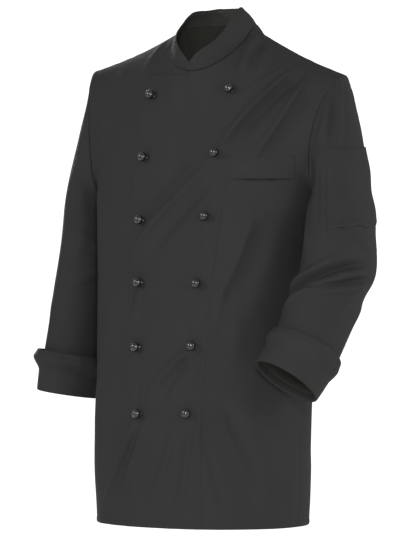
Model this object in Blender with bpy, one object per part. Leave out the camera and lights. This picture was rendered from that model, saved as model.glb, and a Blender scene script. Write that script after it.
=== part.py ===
"""Double-breasted chef jacket, filled out with no wearer.

Metres, +Z up. The jacket faces -Y and the wearer's left is +X. The origin is at the
middle of the neck base, where the wearer's neck and shoulders hold the jacket up.
Every cloth piece is a thin closed wall whose outer face follows one shared body form,
so neighbouring pieces meet along the same seam lines with a small gap.
"""
import math

import bmesh
import bpy
import numpy as np

# Cloth and seams
WALL = 0.0015           # thickness of one layer of cloth
SEAM_GAP = 0.0003       # clear distance between two pieces at a seam
LAP_GAP = 0.0014        # clear distance where one faceted layer lies on another

# Main heights, measured from the neck base
HEM_Z = -0.801
UNDERARM_Z = -0.275
SHOULDER_TIP_Z = -0.066
FLAP_TOP_Z = -0.068     # straight top edge of each front beyond the collar end

# Plan sizes of the seam points
UNDERARM_X = 0.204
SHOULDER_TIP_X = 0.234
SHOULDER_TIP_Y = 0.018
SHOULDER_DIP = 0.005
ARMHOLE_FRONT = 0.057
ARMHOLE_BACK = 0.055
UNDER_INSET = 0.0012    # the covered flap lies this much further in
SECTION_POWER = 2.2     # 2 is an ellipse; more is squarer

# Body sections. Columns: height, half width, y at centre front, centre back and side
BODY_SECTIONS = [
    (-0.801, 0.1810, -0.1760, 0.0960, -0.0400),
    (-0.602, 0.1835, -0.1715, 0.1010, -0.0330),
    (-0.450, 0.1895, -0.1580, 0.1010, -0.0240),
    (-0.348, 0.1950, -0.1450, 0.1050, -0.0160),
    (-0.275, 0.2040, -0.1320, 0.1120, -0.0060),
]

# Collar sections from centre front (0) to centre back (180 degrees).
# Columns: angle, then x, y, z of the neck seam and x, y, z of the top edge
COLLAR_SECTIONS = [
    (0, 0.000, -0.0787, -0.0610, 0.000, -0.0815, -0.0455),
    (20, 0.026, -0.0745, -0.0560, 0.018, -0.0825, -0.0290),
    (45, 0.050, -0.0535, -0.0395, 0.037, -0.0630, -0.0110),
    (70, 0.066, -0.0220, -0.0140, 0.046, -0.0350, 0.0145),
    (90, 0.069, 0.0080, 0.0095, 0.0460, -0.0020, 0.0385),
    (120, 0.057, 0.0410, 0.0125, 0.037, 0.0270, 0.0400),
    (150, 0.033, 0.0620, 0.0115, 0.024, 0.0450, 0.0395),
    (180, 0.000, 0.0680, 0.0105, 0.000, 0.0520, 0.0390),
]

# The neck sits lower on the wearer's right. Columns: angle, drop of the neck seam and
# of the collar's top edge
RIGHT_NECK_DROP = [
    (0, 0.000, 0.000),
    (20, -0.001, -0.002),
    (45, -0.001, -0.002),
    (70, 0.004, 0.0065),
    (90, 0.0085, 0.0095),
    (120, 0.004, 0.005),
    (150, 0.001, 0.002),
    (180, 0.000, 0.000),
]

# Free front edge. Columns: height, distance from centre front
FRONT_EDGE = [
    (-0.801, 0.067),
    (-0.450, 0.073),
    (-0.235, 0.085),
    (-0.066, 0.093),
]

# Buttons. Columns: x and height of the wearer's left one, then of the right one
BUTTON_ROWS = [
    (0.0745, -0.0895, -0.0695, -0.1020),
    (0.0670, -0.1920, -0.0650, -0.2015),
    (0.0605, -0.2940, -0.0585, -0.3030),
    (0.0550, -0.4025, -0.0530, -0.4040),
    (0.0520, -0.5035, -0.0505, -0.5085),
    (0.0475, -0.6130, -0.0425, -0.6165),
]
BALL_RADIUS = 0.0078
SHANK_RADIUS = 0.0030
SHANK_LENGTH = 0.0016

# Sleeves, in outward coordinates (x away from the body). Columns: x, y, z of the
# sleeve's middle, half size across (away from the body), half size fore and aft
LEFT_ARM = [
    (0.2545, -0.0300, -0.310, 0.0490, 0.0740),
    (0.2620, -0.0470, -0.350, 0.0550, 0.0740),
    (0.2640, -0.0600, -0.390, 0.0590, 0.0720),
    (0.2510, -0.0865, -0.442, 0.0570, 0.0650),
    (0.2410, -0.1160, -0.496, 0.0550, 0.0600),
    (0.2220, -0.1540, -0.556, 0.0550, 0.0560),
]
RIGHT_ARM = [
    (0.2490, 0.0360, -0.310, 0.0430, 0.0720),
    (0.2470, 0.0220, -0.360, 0.0440, 0.0680),
    (0.2490, 0.0020, -0.430, 0.0460, 0.0640),
    (0.2580, -0.0120, -0.518, 0.0460, 0.0580),
    (0.2680, -0.0200, -0.600, 0.0460, 0.0560),
]
LEFT_HEAD_OUT = 0.15    # how far a sleeve starts outwards at the shoulder tip
RIGHT_HEAD_OUT = -0.12
HEAD_OUT_UNDER = 1.40   # and at the underarm
HEAD_ROWS = 8
ARM_ROWS = 9
CUFF_DEPTH = 0.066
CUFF_RETURN = 0.012     # part of the cuff inside the fold, up to the sleeve's end
CUFF_STAND = 0.0022     # gap between the sleeve and the turned-back layer
LEFT_CUFF_FLARE = 0.0050
RIGHT_CUFF_FLARE = 0.0105

# Pockets
WELT_TOP_Z = -0.196
WELT_MOUTH_Z = -0.2325
WELT_INNER_X = 0.0930
WELT_OUTER_X = 0.1860
POCKET_LIFT = 0.0015    # clear of the faceted panel that carries it
PATCH_TOP_Z = -0.184    # the patch on the left sleeve
PATCH_FOOT_Z = -0.312
PATCH_ROWS = 6
PATCH_COLUMNS_BACK = 3  # columns of the sleeve that the patch reaches over
PATCH_COLUMNS_FRONT = 4
PATCH_FRONT_CUT = 0.4   # share of the last column left free

# Collar
COLLAR_ROWS = 3
COLLAR_LAP = 8.0        # degrees by which its ends pass each other

BLACK_TWILL = ("black_twill", (0.038, 0.038, 0.037), 0.86, 0.0)
BUTTON_GLOSS = ("button_gloss", (0.020, 0.015, 0.012), 0.12, 0.0)


def curve_through(knots, values):
    """A natural cubic curve through the given values; works on arrays."""
    x = np.array(knots, dtype=float)
    y = np.array(values, dtype=float)
    if y.ndim == 1:
        y = y[:, None]
    count = len(x)
    step = np.diff(x)
    system = np.eye(count)
    right = np.zeros_like(y)
    for i in range(1, count - 1):
        system[i, i - 1] = step[i - 1]
        system[i, i] = 2 * (step[i - 1] + step[i])
        system[i, i + 1] = step[i]
        slope_after = (y[i + 1] - y[i]) / step[i]
        slope_before = (y[i] - y[i - 1]) / step[i - 1]
        right[i] = 6 * (slope_after - slope_before)
    bend = np.linalg.solve(system, right)

    def evaluate(at):
        at = np.asarray(at, dtype=float)
        i = np.clip(np.searchsorted(x, at) - 1, 0, count - 2)
        h = step[i][..., None]
        after = (at - x[i])[..., None]
        before = h - after
        return ((bend[i] * before ** 3 + bend[i + 1] * after ** 3) / (6 * h)
                + (y[i] / h - bend[i] * h / 6) * before
                + (y[i + 1] / h - bend[i + 1] * h / 6) * after)

    return evaluate


def smoothstep(x):
    x = np.clip(x, 0.0, 1.0)
    return x * x * (3 - 2 * x)


def unit(vectors):
    length = np.linalg.norm(vectors, axis=-1, keepdims=True)
    return vectors / np.maximum(length, 1e-12)


def hermite(start, start_pull, end, end_pull, t):
    """Curve from start to end that leaves and arrives along the two pulls."""
    t = t[..., None]
    return ((2 * t ** 3 - 3 * t ** 2 + 1) * start + (t ** 3 - 2 * t ** 2 + t) * start_pull
            + (3 * t ** 2 - 2 * t ** 3) * end + (t ** 3 - t ** 2) * end_pull)


def bulge(value):
    """Superellipse rounding of a sine or cosine, keeping its sign."""
    return np.sign(value) * np.abs(value) ** (2 / SECTION_POWER)


body_section = curve_through([row[0] for row in BODY_SECTIONS],
                             [row[1:] for row in BODY_SECTIONS])
neck_section = curve_through([row[0] for row in COLLAR_SECTIONS],
                             [row[1:] for row in COLLAR_SECTIONS])
right_neck_drop = curve_through([row[0] for row in RIGHT_NECK_DROP],
                                [row[1:] for row in RIGHT_NECK_DROP])
front_edge_x = curve_through([row[0] for row in FRONT_EDGE],
                             [row[1] for row in FRONT_EDGE])


def body_ring(angle, z, back):
    """Point of the body form; angle 0 is the centre and 90 degrees the side seam."""
    size = body_section(z)
    centre_y = size[..., 2] if back else size[..., 1]
    x = size[..., 0] * bulge(np.sin(angle))
    y = size[..., 3] + (centre_y - size[..., 3]) * bulge(np.cos(angle))
    return np.stack([x, y, z + 0 * x], axis=-1)


def equal_steps(back):
    """Angles that divide the quarter ring at the underarm into equal lengths."""
    angle = np.linspace(0, math.pi / 2, 181)
    ring = body_ring(angle, np.full_like(angle, UNDERARM_Z), back)
    run = np.concatenate([[0], np.cumsum(np.linalg.norm(np.diff(ring, axis=0), axis=1))])
    return run / run[-1], angle


FRONT_STEPS = equal_steps(False)
BACK_STEPS = equal_steps(True)
NECK_SHARE_FRONT = 0.33     # share of the half width that runs up to the neckline
NECK_SHARE_BACK = 0.34
QUARTER_RING = 0.27         # length of that half width at the underarm, about
NECK_COLUMNS = 5
SIDE_COLUMNS = 8
FLAP_COLUMNS = 4
ROWS_BELOW = 9
ARMHOLE_STEPS = 9           # rows above the underarm, and half the sleeve's columns


def armhole(angle):
    """Armhole seam; 0 is the shoulder tip, 90 the front, 180 the underarm degrees."""
    angle = np.asarray(angle, dtype=float)
    half_height = (SHOULDER_TIP_Z - UNDERARM_Z) / 2
    z = UNDERARM_Z + half_height * (1 + np.cos(angle))
    rise = (z - UNDERARM_Z) / (2 * half_height)
    x = UNDERARM_X + (SHOULDER_TIP_X - UNDERARM_X) * rise ** 3
    side_y = BODY_SECTIONS[-1][4]
    middle_y = side_y + (SHOULDER_TIP_Y - side_y) * rise
    reach = np.where(np.sin(angle) > 0, ARMHOLE_FRONT, ARMHOLE_BACK)
    return np.stack([x, middle_y - reach * np.sin(angle), z], axis=-1)


def neck_points(angle, on_right):
    """Neck seam and collar top at an angle, as points of the left half (x positive)."""
    both = neck_section(angle)
    drop = right_neck_drop(angle) * np.where(on_right, 1, 0)[..., None]
    seam = both[..., :3].copy()
    top = both[..., 3:].copy()
    seam[..., 2] -= drop[..., 0]
    top[..., 2] -= drop[..., 1]
    return seam, top


def shoulder_seam(share, on_right):
    """From the neck point (0) to the shoulder tip (1)."""
    share = np.asarray(share, dtype=float)
    neck = neck_points(np.full_like(share, 90.0), on_right)[0]
    tip = np.array([SHOULDER_TIP_X, SHOULDER_TIP_Y, SHOULDER_TIP_Z])
    seam = neck + (tip - neck) * share[..., None]
    seam[..., 2] -= SHOULDER_DIP * np.sin(math.pi * share)
    return seam


def blend(first, second, share):
    share = np.asarray(share)[..., None]
    return np.array(first) * (1 - share) + np.array(second) * share


def body_surface(w, v, back=False):
    """Body form. w runs from the right side seam (-1) to the left one (1); v runs from
    the hem (0) to the underarm (1) and on to the neckline or shoulder seam (2)."""
    w, v = np.broadcast_arrays(np.asarray(w, dtype=float), np.asarray(v, dtype=float))
    share = np.clip(np.abs(w), 0, 1)
    run, angles = BACK_STEPS if back else FRONT_STEPS
    angle = np.interp(share, run, angles)
    lower_z = HEM_Z + (UNDERARM_Z - HEM_Z) * np.clip(v, 0, 1)
    lower = body_ring(angle, lower_z, back)

    t = np.clip(v - 1, 0, 1)
    start = body_ring(angle, np.full_like(angle, UNDERARM_Z), back)
    below = body_ring(angle, np.full_like(angle, UNDERARM_Z - 0.01), back)
    neck_share = NECK_SHARE_BACK if back else NECK_SHARE_FRONT
    round_neck = np.clip(share / neck_share, 0, 1)
    along_shoulder = np.clip((share - neck_share) / (1 - neck_share), 0, 1)
    neck_angle = 180 - 90 * round_neck if back else 90 * round_neck
    neckline = neck_points(neck_angle, w < 0)[0]
    shoulder = shoulder_seam(along_shoulder, w < 0)
    top = np.where((share <= neck_share)[..., None], neckline, shoulder)
    forward = -1 if back else 1
    centre_way = (0, forward * (0.45 if back else 0.21), 0.93)
    neck_way = (-0.15, forward * 0.85, 0.50)
    tip_way = (0.10, forward * 0.97, 0.15)
    way = blend(centre_way, neck_way, round_neck ** 1.5)
    way = np.where((share > neck_share)[..., None], blend(neck_way, tip_way, along_shoulder), way)
    pull = np.linalg.norm(top - start, axis=-1, keepdims=True)
    upper = hermite(start, unit(start - below) * pull, top, unit(way) * pull, t)

    tip_angle = math.pi * (1 - t) * (-1 if back else 1)
    one = np.ones_like(share)
    side_start = body_ring(one * math.pi / 2, np.full_like(one, UNDERARM_Z), back)
    side_below = body_ring(one * math.pi / 2, np.full_like(one, UNDERARM_Z - 0.01), back)
    side_top = shoulder_seam(one, w < 0)
    side_pull = np.linalg.norm(side_top - side_start, axis=-1, keepdims=True)
    side = hermite(side_start, unit(side_start - side_below) * side_pull,
                   side_top, unit(np.array(tip_way)) * side_pull, t)
    near = np.clip((share - 0.5) / 0.5, 0, 1)
    forward_weight = near ** (2 + 3 * (1 - smoothstep(t / 0.4)))
    side_weight = 1 - (1 - near) ** 2
    weight = np.stack([side_weight, forward_weight, forward_weight], axis=-1)
    upper = upper + weight * (armhole(tip_angle) - side)

    point = np.where((v <= 1)[..., None], lower, upper)
    point[..., 0] *= np.where(w < 0, -1, 1)
    return point


def surface_normal(surface, w, v):
    step = 1e-3
    across = surface(w + step, v) - surface(w - step, v)
    up = surface(w, v + step) - surface(w, v - step)
    return unit(np.cross(across, up))


def lap_lift(point):
    """How far the over-lapping left front stands out over the right front."""
    x = point[..., 0]
    z = point[..., 2]
    beside = 1 - smoothstep((x - 0.100) / 0.050)
    above = 1 - smoothstep((z + 0.045) / 0.045)
    above = np.where(x < 0, 1.0, above)
    return (WALL + LAP_GAP) * beside * above


def over_surface(w, v):
    """Outer face of the left front, lifted where it laps over the right front."""
    point = body_surface(w, v)
    normal = surface_normal(body_surface, np.asarray(w, dtype=float), np.asarray(v, dtype=float))
    return point + normal * lap_lift(point)[..., None]


def under_surface(w, v):
    """Outer face of the right front, drawn in a little where the left front covers it."""
    point = body_surface(w, v)
    normal = surface_normal(body_surface, np.asarray(w, dtype=float), np.asarray(v, dtype=float))
    inset = UNDER_INSET * smoothstep(point[..., 0] / 0.030)
    return point - normal * inset[..., None]


def locate(x, z, surface=body_surface):
    """The (w, v) of the front at the given x and z, by Newton steps."""
    x, z = np.broadcast_arrays(np.asarray(x, dtype=float), np.asarray(z, dtype=float))
    w = x / 0.27
    v = np.where(z < UNDERARM_Z, (z - HEM_Z) / (UNDERARM_Z - HEM_Z),
                 1 + (z - UNDERARM_Z) / (0.03 - UNDERARM_Z))
    step = 1e-4
    for _ in range(25):
        here = surface(w, v)
        by_w = (surface(w + step, v) - here) / step
        by_v = (surface(w, v + step) - here) / step
        miss_x = x - here[..., 0]
        miss_z = z - here[..., 2]
        size = by_w[..., 0] * by_v[..., 2] - by_v[..., 0] * by_w[..., 2]
        size = np.where(np.abs(size) < 1e-6, 1e-6, size)
        w = np.clip(w + 0.8 * (miss_x * by_v[..., 2] - miss_z * by_v[..., 0]) / size, -0.999, 0.999)
        v = np.clip(v + 0.8 * (by_w[..., 0] * miss_z - by_w[..., 2] * miss_x) / size, 0.0, 1.999)
    return w, v


def column_shares(neck_share):
    """Columns from the centre to the side seam; the neck ones match the collar's."""
    neck = np.linspace(0, neck_share, NECK_COLUMNS + 1)
    side = np.linspace(neck_share, 1 - SEAM_GAP / 2 / QUARTER_RING, SIDE_COLUMNS + 1)
    return np.concatenate([neck, side[1:]])


def row_levels():
    low = np.linspace(0, 1, ROWS_BELOW + 1)
    high = np.linspace(1, 2, ARMHOLE_STEPS + 1)
    return np.concatenate([low, high[1:]])


def edge_share(side, level):
    """w of the free front edge at each level; side is -1 for the left front's edge."""
    z = np.linspace(HEM_Z, FLAP_TOP_Z, 40)
    w, v = locate(side * front_edge_x(z)[:, 0], z)
    return np.interp(level, v, w)


def front_grid(side, surface):
    """Points of the front on one side (1 is the wearer's left), from its free edge
    beyond the centre to its side seam; rows run upwards."""
    levels = row_levels()
    columns = []
    for share in np.linspace(1, 0, FLAP_COLUMNS + 1)[:-1]:
        fine = np.linspace(1, 2, 200)
        heights = surface(share * edge_share(-side, fine), fine)[:, 2]
        top = np.interp(FLAP_TOP_Z, heights, fine)
        reach = np.minimum(levels, 1) + np.maximum(levels - 1, 0) * (top - 1)
        columns.append(surface(share * edge_share(-side, reach), reach))
    for share in column_shares(NECK_SHARE_FRONT):
        columns.append(surface(np.full_like(levels, side * share), levels))
    return np.stack(columns, axis=1)


def back_grid():
    shares = column_shares(NECK_SHARE_BACK)
    across = np.concatenate([-shares[:0:-1], shares])
    w, v = np.meshgrid(across, row_levels())
    grid = body_surface(w, v, back=True)
    on_shoulder = np.abs(across) > NECK_SHARE_BACK - 1e-6
    grid[-1, on_shoulder, 1] += SEAM_GAP
    return grid


def grid_normals(grid, wrap):
    """Normals of a grid of points, towards columns x rows."""
    if wrap:
        across = np.roll(grid, -1, axis=1) - np.roll(grid, 1, axis=1)
    else:
        across = np.gradient(grid, axis=1)
    along = np.gradient(grid, axis=0)
    return unit(np.cross(across, along))


def material(look):
    name, colour, roughness, metallic = look
    made = bpy.data.materials.new(name)
    made.use_nodes = True
    shader = made.node_tree.nodes["Principled BSDF"]
    shader.inputs["Base Color"].default_value = (*colour, 1)
    shader.inputs["Roughness"].default_value = roughness
    shader.inputs["Metallic"].default_value = metallic
    made.diffuse_color = (*colour, 1)
    return made


def add_solid(name, points, faces, look):
    """A mesh object with its faces turned outwards. Each quad is cut from its first
    corner, so both faces of a wall are cut the same way."""
    triangles = []
    for face in faces:
        triangles += [(face[0], face[k], face[k + 1]) for k in range(1, len(face) - 1)]
    mesh = bpy.data.meshes.new(name)
    mesh.from_pydata([tuple(p) for p in points], [], triangles)
    shape = bmesh.new()
    shape.from_mesh(mesh)
    bmesh.ops.recalc_face_normals(shape, faces=shape.faces)
    shape.to_mesh(mesh)
    shape.free()
    mesh.shade_smooth()
    mesh.set_sharp_from_angle(angle=math.radians(40))
    mesh.materials.append(material(look))
    made = bpy.data.objects.new(name, mesh)
    bpy.context.scene.collection.objects.link(made)
    return made


def cloth_solid(name, grid, normals, wrap=False):
    """A wall of cloth: the grid is its outer face, and the wall lies behind it."""
    inner = grid - normals * WALL
    rows, columns = grid.shape[:2]
    count = rows * columns
    points = np.concatenate([grid.reshape(-1, 3), inner.reshape(-1, 3)])

    def at(layer, i, j):
        return layer * count + i * columns + j % columns

    faces = []
    last = columns if wrap else columns - 1
    for i in range(rows - 1):
        for j in range(last):
            faces.append((at(0, i, j), at(0, i, j + 1), at(0, i + 1, j + 1), at(0, i + 1, j)))
            faces.append((at(1, i, j), at(1, i + 1, j), at(1, i + 1, j + 1), at(1, i, j + 1)))
    for j in range(last):
        for i, turn in ((0, 1), (rows - 1, -1)):
            rim = (at(0, i, j), at(1, i, j), at(1, i, j + 1), at(0, i, j + 1))
            faces.append(rim[::turn])
    if not wrap:
        for i in range(rows - 1):
            for j, turn in ((0, 1), (columns - 1, -1)):
                rim = (at(0, i, j), at(0, i + 1, j), at(1, i + 1, j), at(1, i, j))
                faces.append(rim[::turn])
    return add_solid(name, points, faces, BLACK_TWILL)


class Sleeve:
    """A sleeve's form in outward coordinates; side is 1 for the wearer's left."""

    def __init__(self, rows, side):
        self.side = side
        self.flare = LEFT_CUFF_FLARE if side > 0 else RIGHT_CUFF_FLARE
        self.head_out = LEFT_HEAD_OUT if side > 0 else RIGHT_HEAD_OUT
        table = np.array(rows)
        steps = np.linalg.norm(np.diff(table[:, :3], axis=0), axis=1)
        knots = np.concatenate([[0], np.cumsum(steps)])
        self.length = knots[-1]
        self.section = curve_through(knots, table)

    def ring(self, angle, along, out=0.0):
        """Point on the sleeve below its head; along is measured from the first row."""
        here = self.section(along)
        step = 1e-3
        way = unit(self.section(along + step)[..., :3] - self.section(along - step)[..., :3])
        fore = np.array([0.0, -1.0, 0.0])
        fore = unit(fore - way * np.sum(fore * way, axis=-1, keepdims=True))
        across = np.cross(fore, way)
        cos = np.cos(angle)[..., None]
        sin = np.sin(angle)[..., None]
        wide = here[..., 3:4] + out
        deep = here[..., 4:5] + out
        return here[..., :3] + across * wide * cos + fore * deep * sin

    def head(self, angle, t):
        """Between the armhole seam (t = 0) and the first row (t = 1)."""
        seam = armhole(angle)
        end = self.ring(angle, 0 * angle)
        way = unit(self.section(np.array(1e-3))[:3] - self.section(np.array(0.0))[:3])
        under = (1 - np.cos(angle)) / 2
        out = self.head_out + (HEAD_OUT_UNDER - self.head_out) * under
        start_way = unit(way + np.stack([out, 0 * out, 0 * out], axis=-1))
        seam = seam + start_way * (SEAM_GAP * (1 + under))[..., None]
        pull = np.linalg.norm(end - seam, axis=-1, keepdims=True)
        return hermite(seam, start_way * pull, end, way * pull, t)

    def grid(self):
        """Rows run from the armhole to the sleeve's end, just short of the cuff."""
        end = self.length - CUFF_RETURN - SEAM_GAP
        around = 2 * ARMHOLE_STEPS
        angle = np.arange(around) * 2 * math.pi / around
        rows = [self.head(angle, np.full_like(angle, t))
                for t in np.linspace(0, 1, HEAD_ROWS + 1)[:-1]]
        rows += [self.ring(angle, np.full_like(angle, along))
                 for along in np.linspace(0, end, ARM_ROWS + 1)]
        return np.array(rows)

    def cuff_profile(self):
        """Closed outline of the turned-back cuff: distance up from the rim, distance out."""
        inner = CUFF_STAND
        outer = CUFF_STAND + WALL
        return [
            (CUFF_RETURN, -WALL), (0.003, -WALL), (0.0003, -0.4 * WALL),
            (-0.0006, 0.5 * outer), (0.0003, 0.85 * outer), (0.004, outer),
            (0.036, outer + 0.2 * self.flare), (CUFF_DEPTH, outer + self.flare),
            (CUFF_DEPTH, inner + self.flare), (0.036, inner + 0.2 * self.flare),
            (0.004, inner), (0.0024, 0.4 * inner), (0.0032, 0.0), (CUFF_RETURN, 0.0),
        ]


def place_sleeve(points, side):
    return points * np.array([side, 1, 1])


def shared_normals(own, other):
    """Lean a seam's wall direction half way to its neighbour's where the two agree."""
    agree = np.sum(own * other, axis=-1, keepdims=True)
    return unit(own + other * smoothstep(agree / 0.3))


def armhole_normals(side):
    """The body's outward direction round the armhole, at the sleeve's columns."""
    level = 2 - np.arange(ARMHOLE_STEPS + 1) / ARMHOLE_STEPS
    share = np.full_like(level, side * 0.999)
    front = surface_normal(body_surface, share, level)
    back = -surface_normal(lambda w, v: body_surface(w, v, back=True), share, level)
    return np.concatenate([front, back[-2:0:-1]])


def make_sleeve(name, sleeve):
    grid = place_sleeve(sleeve.grid(), sleeve.side)
    normals = grid_normals(grid, True) * sleeve.side
    body = armhole_normals(sleeve.side)
    normals[0] = shared_normals(normals[0], body)
    return cloth_solid(name, grid, normals, wrap=True)


def make_cuff(name, sleeve):
    around = 2 * ARMHOLE_STEPS
    angle = np.arange(around) * 2 * math.pi / around
    profile = sleeve.cuff_profile()
    rings = [sleeve.ring(angle, np.full_like(angle, sleeve.length - up), out)
             for up, out in profile]
    points = place_sleeve(np.array(rings), sleeve.side).reshape(-1, 3)
    faces = []
    for i in range(len(profile)):
        for j in range(around):
            k = (j + 1) % around
            below = i * around
            above = (i + 1) % len(profile) * around
            faces.append((below + j, below + k, above + k, above + j))
    return add_solid(name, points, faces, BLACK_TWILL)


def body_edge_normals(normals, column, side, back):
    """Turn the wall at a panel's armhole edge half way to the sleeve's wall."""
    sleeve = grid_normals(place_sleeve(Sleeve(LEFT_ARM if side > 0 else RIGHT_ARM, side).grid(),
                                       side), True)[0] * side
    half = ARMHOLE_STEPS + 1
    edge = sleeve[:half] if not back else np.concatenate([sleeve[:1], sleeve[:half - 2:-1]])
    edge = edge[::-1]
    own = normals[-half:, column]
    normals[-half:, column] = shared_normals(own, edge)


def make_fronts():
    for name, side, surface in (("front_right", -1, under_surface),
                                ("front_left", 1, over_surface)):
        grid = front_grid(side, surface)
        normals = grid_normals(grid, False) * side
        body_edge_normals(normals, -1, side, False)
        on_shoulder = FLAP_COLUMNS + NECK_COLUMNS
        normals[-1, on_shoulder:] = unit(normals[-1, on_shoulder:] * np.array([1, 0, 1]))
        cloth_solid(name, grid, normals)


def make_back():
    grid = back_grid()
    normals = -grid_normals(grid, False)
    body_edge_normals(normals, -1, 1, True)
    body_edge_normals(normals, 0, -1, True)
    level = np.array([1, 0, 1])
    normals[-1, :SIDE_COLUMNS + 1] = unit(normals[-1, :SIDE_COLUMNS + 1] * level)
    normals[-1, -SIDE_COLUMNS - 1:] = unit(normals[-1, -SIDE_COLUMNS - 1:] * level)
    cloth_solid("back", grid, normals)


def make_collar():
    """One band round the neck; the wearer's left end laps over the right end."""
    step = 90 / NECK_COLUMNS
    turn = np.arange(0, 360 + step / 2, step)
    turn[0] = -COLLAR_LAP / 2
    turn[-1] = 360 + COLLAR_LAP / 2
    on_right = (turn > 180) & (turn < 360) | (turn < 0)
    around = np.where(turn > 180, np.abs(360 - turn), np.abs(turn))
    base, top = neck_points(around, on_right)
    mirror = np.where(on_right, -1, 1)
    base[:, 0] *= mirror
    top[:, 0] *= mirror
    rise = unit(top - base)
    front_share = np.clip(turn / 90, 0, 1) * NECK_SHARE_FRONT
    lift = over_surface(front_share, 2.0) - body_surface(front_share, 2.0)
    lift = lift * np.where(on_right & (turn > 0), 0, 1)[:, None]
    rows = []
    for share in np.linspace(0, 1, COLLAR_ROWS + 1):
        rows.append(base + (top - base) * share + rise * 2 * SEAM_GAP * (1 - share) + lift)
    grid = np.array(rows)
    cloth_solid("collar", grid, grid_normals(grid, False))


def make_welt():
    """Stitched band above the breast pocket's mouth, laid on the left front."""
    x = np.linspace(WELT_INNER_X, WELT_OUTER_X, 7)
    z = np.linspace(WELT_MOUTH_Z, WELT_TOP_Z, 3)
    x, z = np.meshgrid(x, z)
    w, v = locate(x, z, over_surface)
    out = surface_normal(over_surface, w, v)
    grid = over_surface(w, v) + out * (WALL + POCKET_LIFT)
    cloth_solid("breast_pocket_welt", grid, out)


def make_sleeve_pocket(sleeve):
    """Patch pocket on the outside of the upper arm, made from the sleeve's points."""
    grid = sleeve.grid()
    lifted = grid + grid_normals(grid, True) * (WALL + POCKET_LIFT)
    lifted = lifted[:, np.arange(-PATCH_COLUMNS_BACK, PATCH_COLUMNS_FRONT + 1)]
    lifted[:, -1] += (lifted[:, -2] - lifted[:, -1]) * PATCH_FRONT_CUT
    heights = np.linspace(PATCH_TOP_Z, PATCH_FOOT_Z, PATCH_ROWS)
    columns = []
    for column in np.moveaxis(lifted, 1, 0):
        steps = [np.interp(-heights, -column[:, 2], column[:, axis]) for axis in range(3)]
        columns.append(np.stack(steps, axis=-1))
    patch = np.stack(columns, axis=1)
    cloth_solid("sleeve_pocket", patch, grid_normals(patch, False))


def button_profile():
    """Radius and height from the cloth outwards: shank, ball and its crown."""
    centre = SHANK_LENGTH + BALL_RADIUS * 0.86
    rows = [(SHANK_RADIUS, 0.0), (SHANK_RADIUS, SHANK_LENGTH)]
    for degrees in (-45, -12, 20, 50, 72):
        angle = math.radians(degrees)
        rows.append((BALL_RADIUS * math.cos(angle), centre + BALL_RADIUS * 0.92 * math.sin(angle)))
    return rows, centre + BALL_RADIUS * 0.92


def make_button(name, x, z):
    around = 10
    w, v = locate(x, z, over_surface)
    out = surface_normal(over_surface, w, v)
    foot = over_surface(w, v) + out * (2 * SEAM_GAP)
    first = unit(np.cross(np.array([0.0, 0.0, 1.0]), out))
    second = np.cross(out, first)
    profile, crown = button_profile()
    points = [foot]
    for radius, height in profile:
        for k in range(around):
            angle = 2 * math.pi * k / around
            ring = first * math.cos(angle) + second * math.sin(angle)
            points.append(foot + out * height + ring * radius)
    points.append(foot + out * crown)
    faces = []
    top = len(points) - 1
    for k in range(around):
        after = (k + 1) % around
        faces.append((0, 1 + k, 1 + after))
        for i in range(len(profile) - 1):
            low = 1 + i * around
            high = low + around
            faces.append((low + k, low + after, high + after, high + k))
        faces.append((top - around + k, top - around + after, top))
    return add_solid(name, points, faces, BUTTON_GLOSS)


def make_buttons():
    for row, (left_x, left_z, right_x, right_z) in enumerate(BUTTON_ROWS, start=1):
        make_button(f"button_left_{row}", left_x, left_z)
        make_button(f"button_right_{row}", right_x, right_z)


def main():
    for old in list(bpy.data.objects):
        bpy.data.objects.remove(old, do_unlink=True)
    make_fronts()
    make_back()
    make_collar()
    left = Sleeve(LEFT_ARM, 1)
    right = Sleeve(RIGHT_ARM, -1)
    make_sleeve("sleeve_left", left)
    make_sleeve("sleeve_right", right)
    make_cuff("cuff_left", left)
    make_cuff("cuff_right", right)
    make_welt()
    make_sleeve_pocket(left)
    make_buttons()


main()
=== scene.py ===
"""Looks of a double-breasted chef jacket, filled out with no wearer.

Metres, +Z up; the jacket faces -Y and the wearer's left is +X. Each cloth piece is
drawn again on the form its solid has, fine enough for folds, rolled edges, pressed
seams and stitch grooves. The folds are listed in tables.
"""
import math

import bmesh
import bpy
import numpy as np
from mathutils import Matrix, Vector


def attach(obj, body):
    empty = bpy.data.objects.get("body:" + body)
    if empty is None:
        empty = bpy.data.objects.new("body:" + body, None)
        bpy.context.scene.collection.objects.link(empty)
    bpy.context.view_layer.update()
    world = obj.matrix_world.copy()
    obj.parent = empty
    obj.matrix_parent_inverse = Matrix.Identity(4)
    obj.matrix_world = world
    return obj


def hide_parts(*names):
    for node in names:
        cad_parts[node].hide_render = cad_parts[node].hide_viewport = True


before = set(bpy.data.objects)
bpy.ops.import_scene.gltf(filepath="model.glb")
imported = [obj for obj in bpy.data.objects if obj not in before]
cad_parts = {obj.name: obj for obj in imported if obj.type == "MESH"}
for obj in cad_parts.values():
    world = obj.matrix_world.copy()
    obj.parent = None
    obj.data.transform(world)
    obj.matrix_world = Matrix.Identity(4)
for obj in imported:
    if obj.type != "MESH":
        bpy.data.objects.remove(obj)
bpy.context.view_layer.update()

# Cloth and seams
WALL = 0.0015           # one turned layer of cloth
LAP_GAP = 0.0006        # air between the two fronts where they lap
LAP_DROP = 0.0045       # width of the step down beyond the covered edge
LAP_SOFT_DROP = 0.035   # and how much wider it is over the chest
LAP_SOFT_FROM = -0.240  # height at which it starts to widen
LAP_SOFT_RUN = 0.080    # and the height over which it does
LAP_TOP_FADE = 0.045    # the lift ends over this height below the neck base
SEAM_GAP = 0.0003
SEAM_SINK = 0.0004      # how far a sewn edge is pulled in
SEAM_WIDTH = 0.0022
SEAM_PUCKER = 0.00045   # height of the small puckers beside a seam
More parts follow.
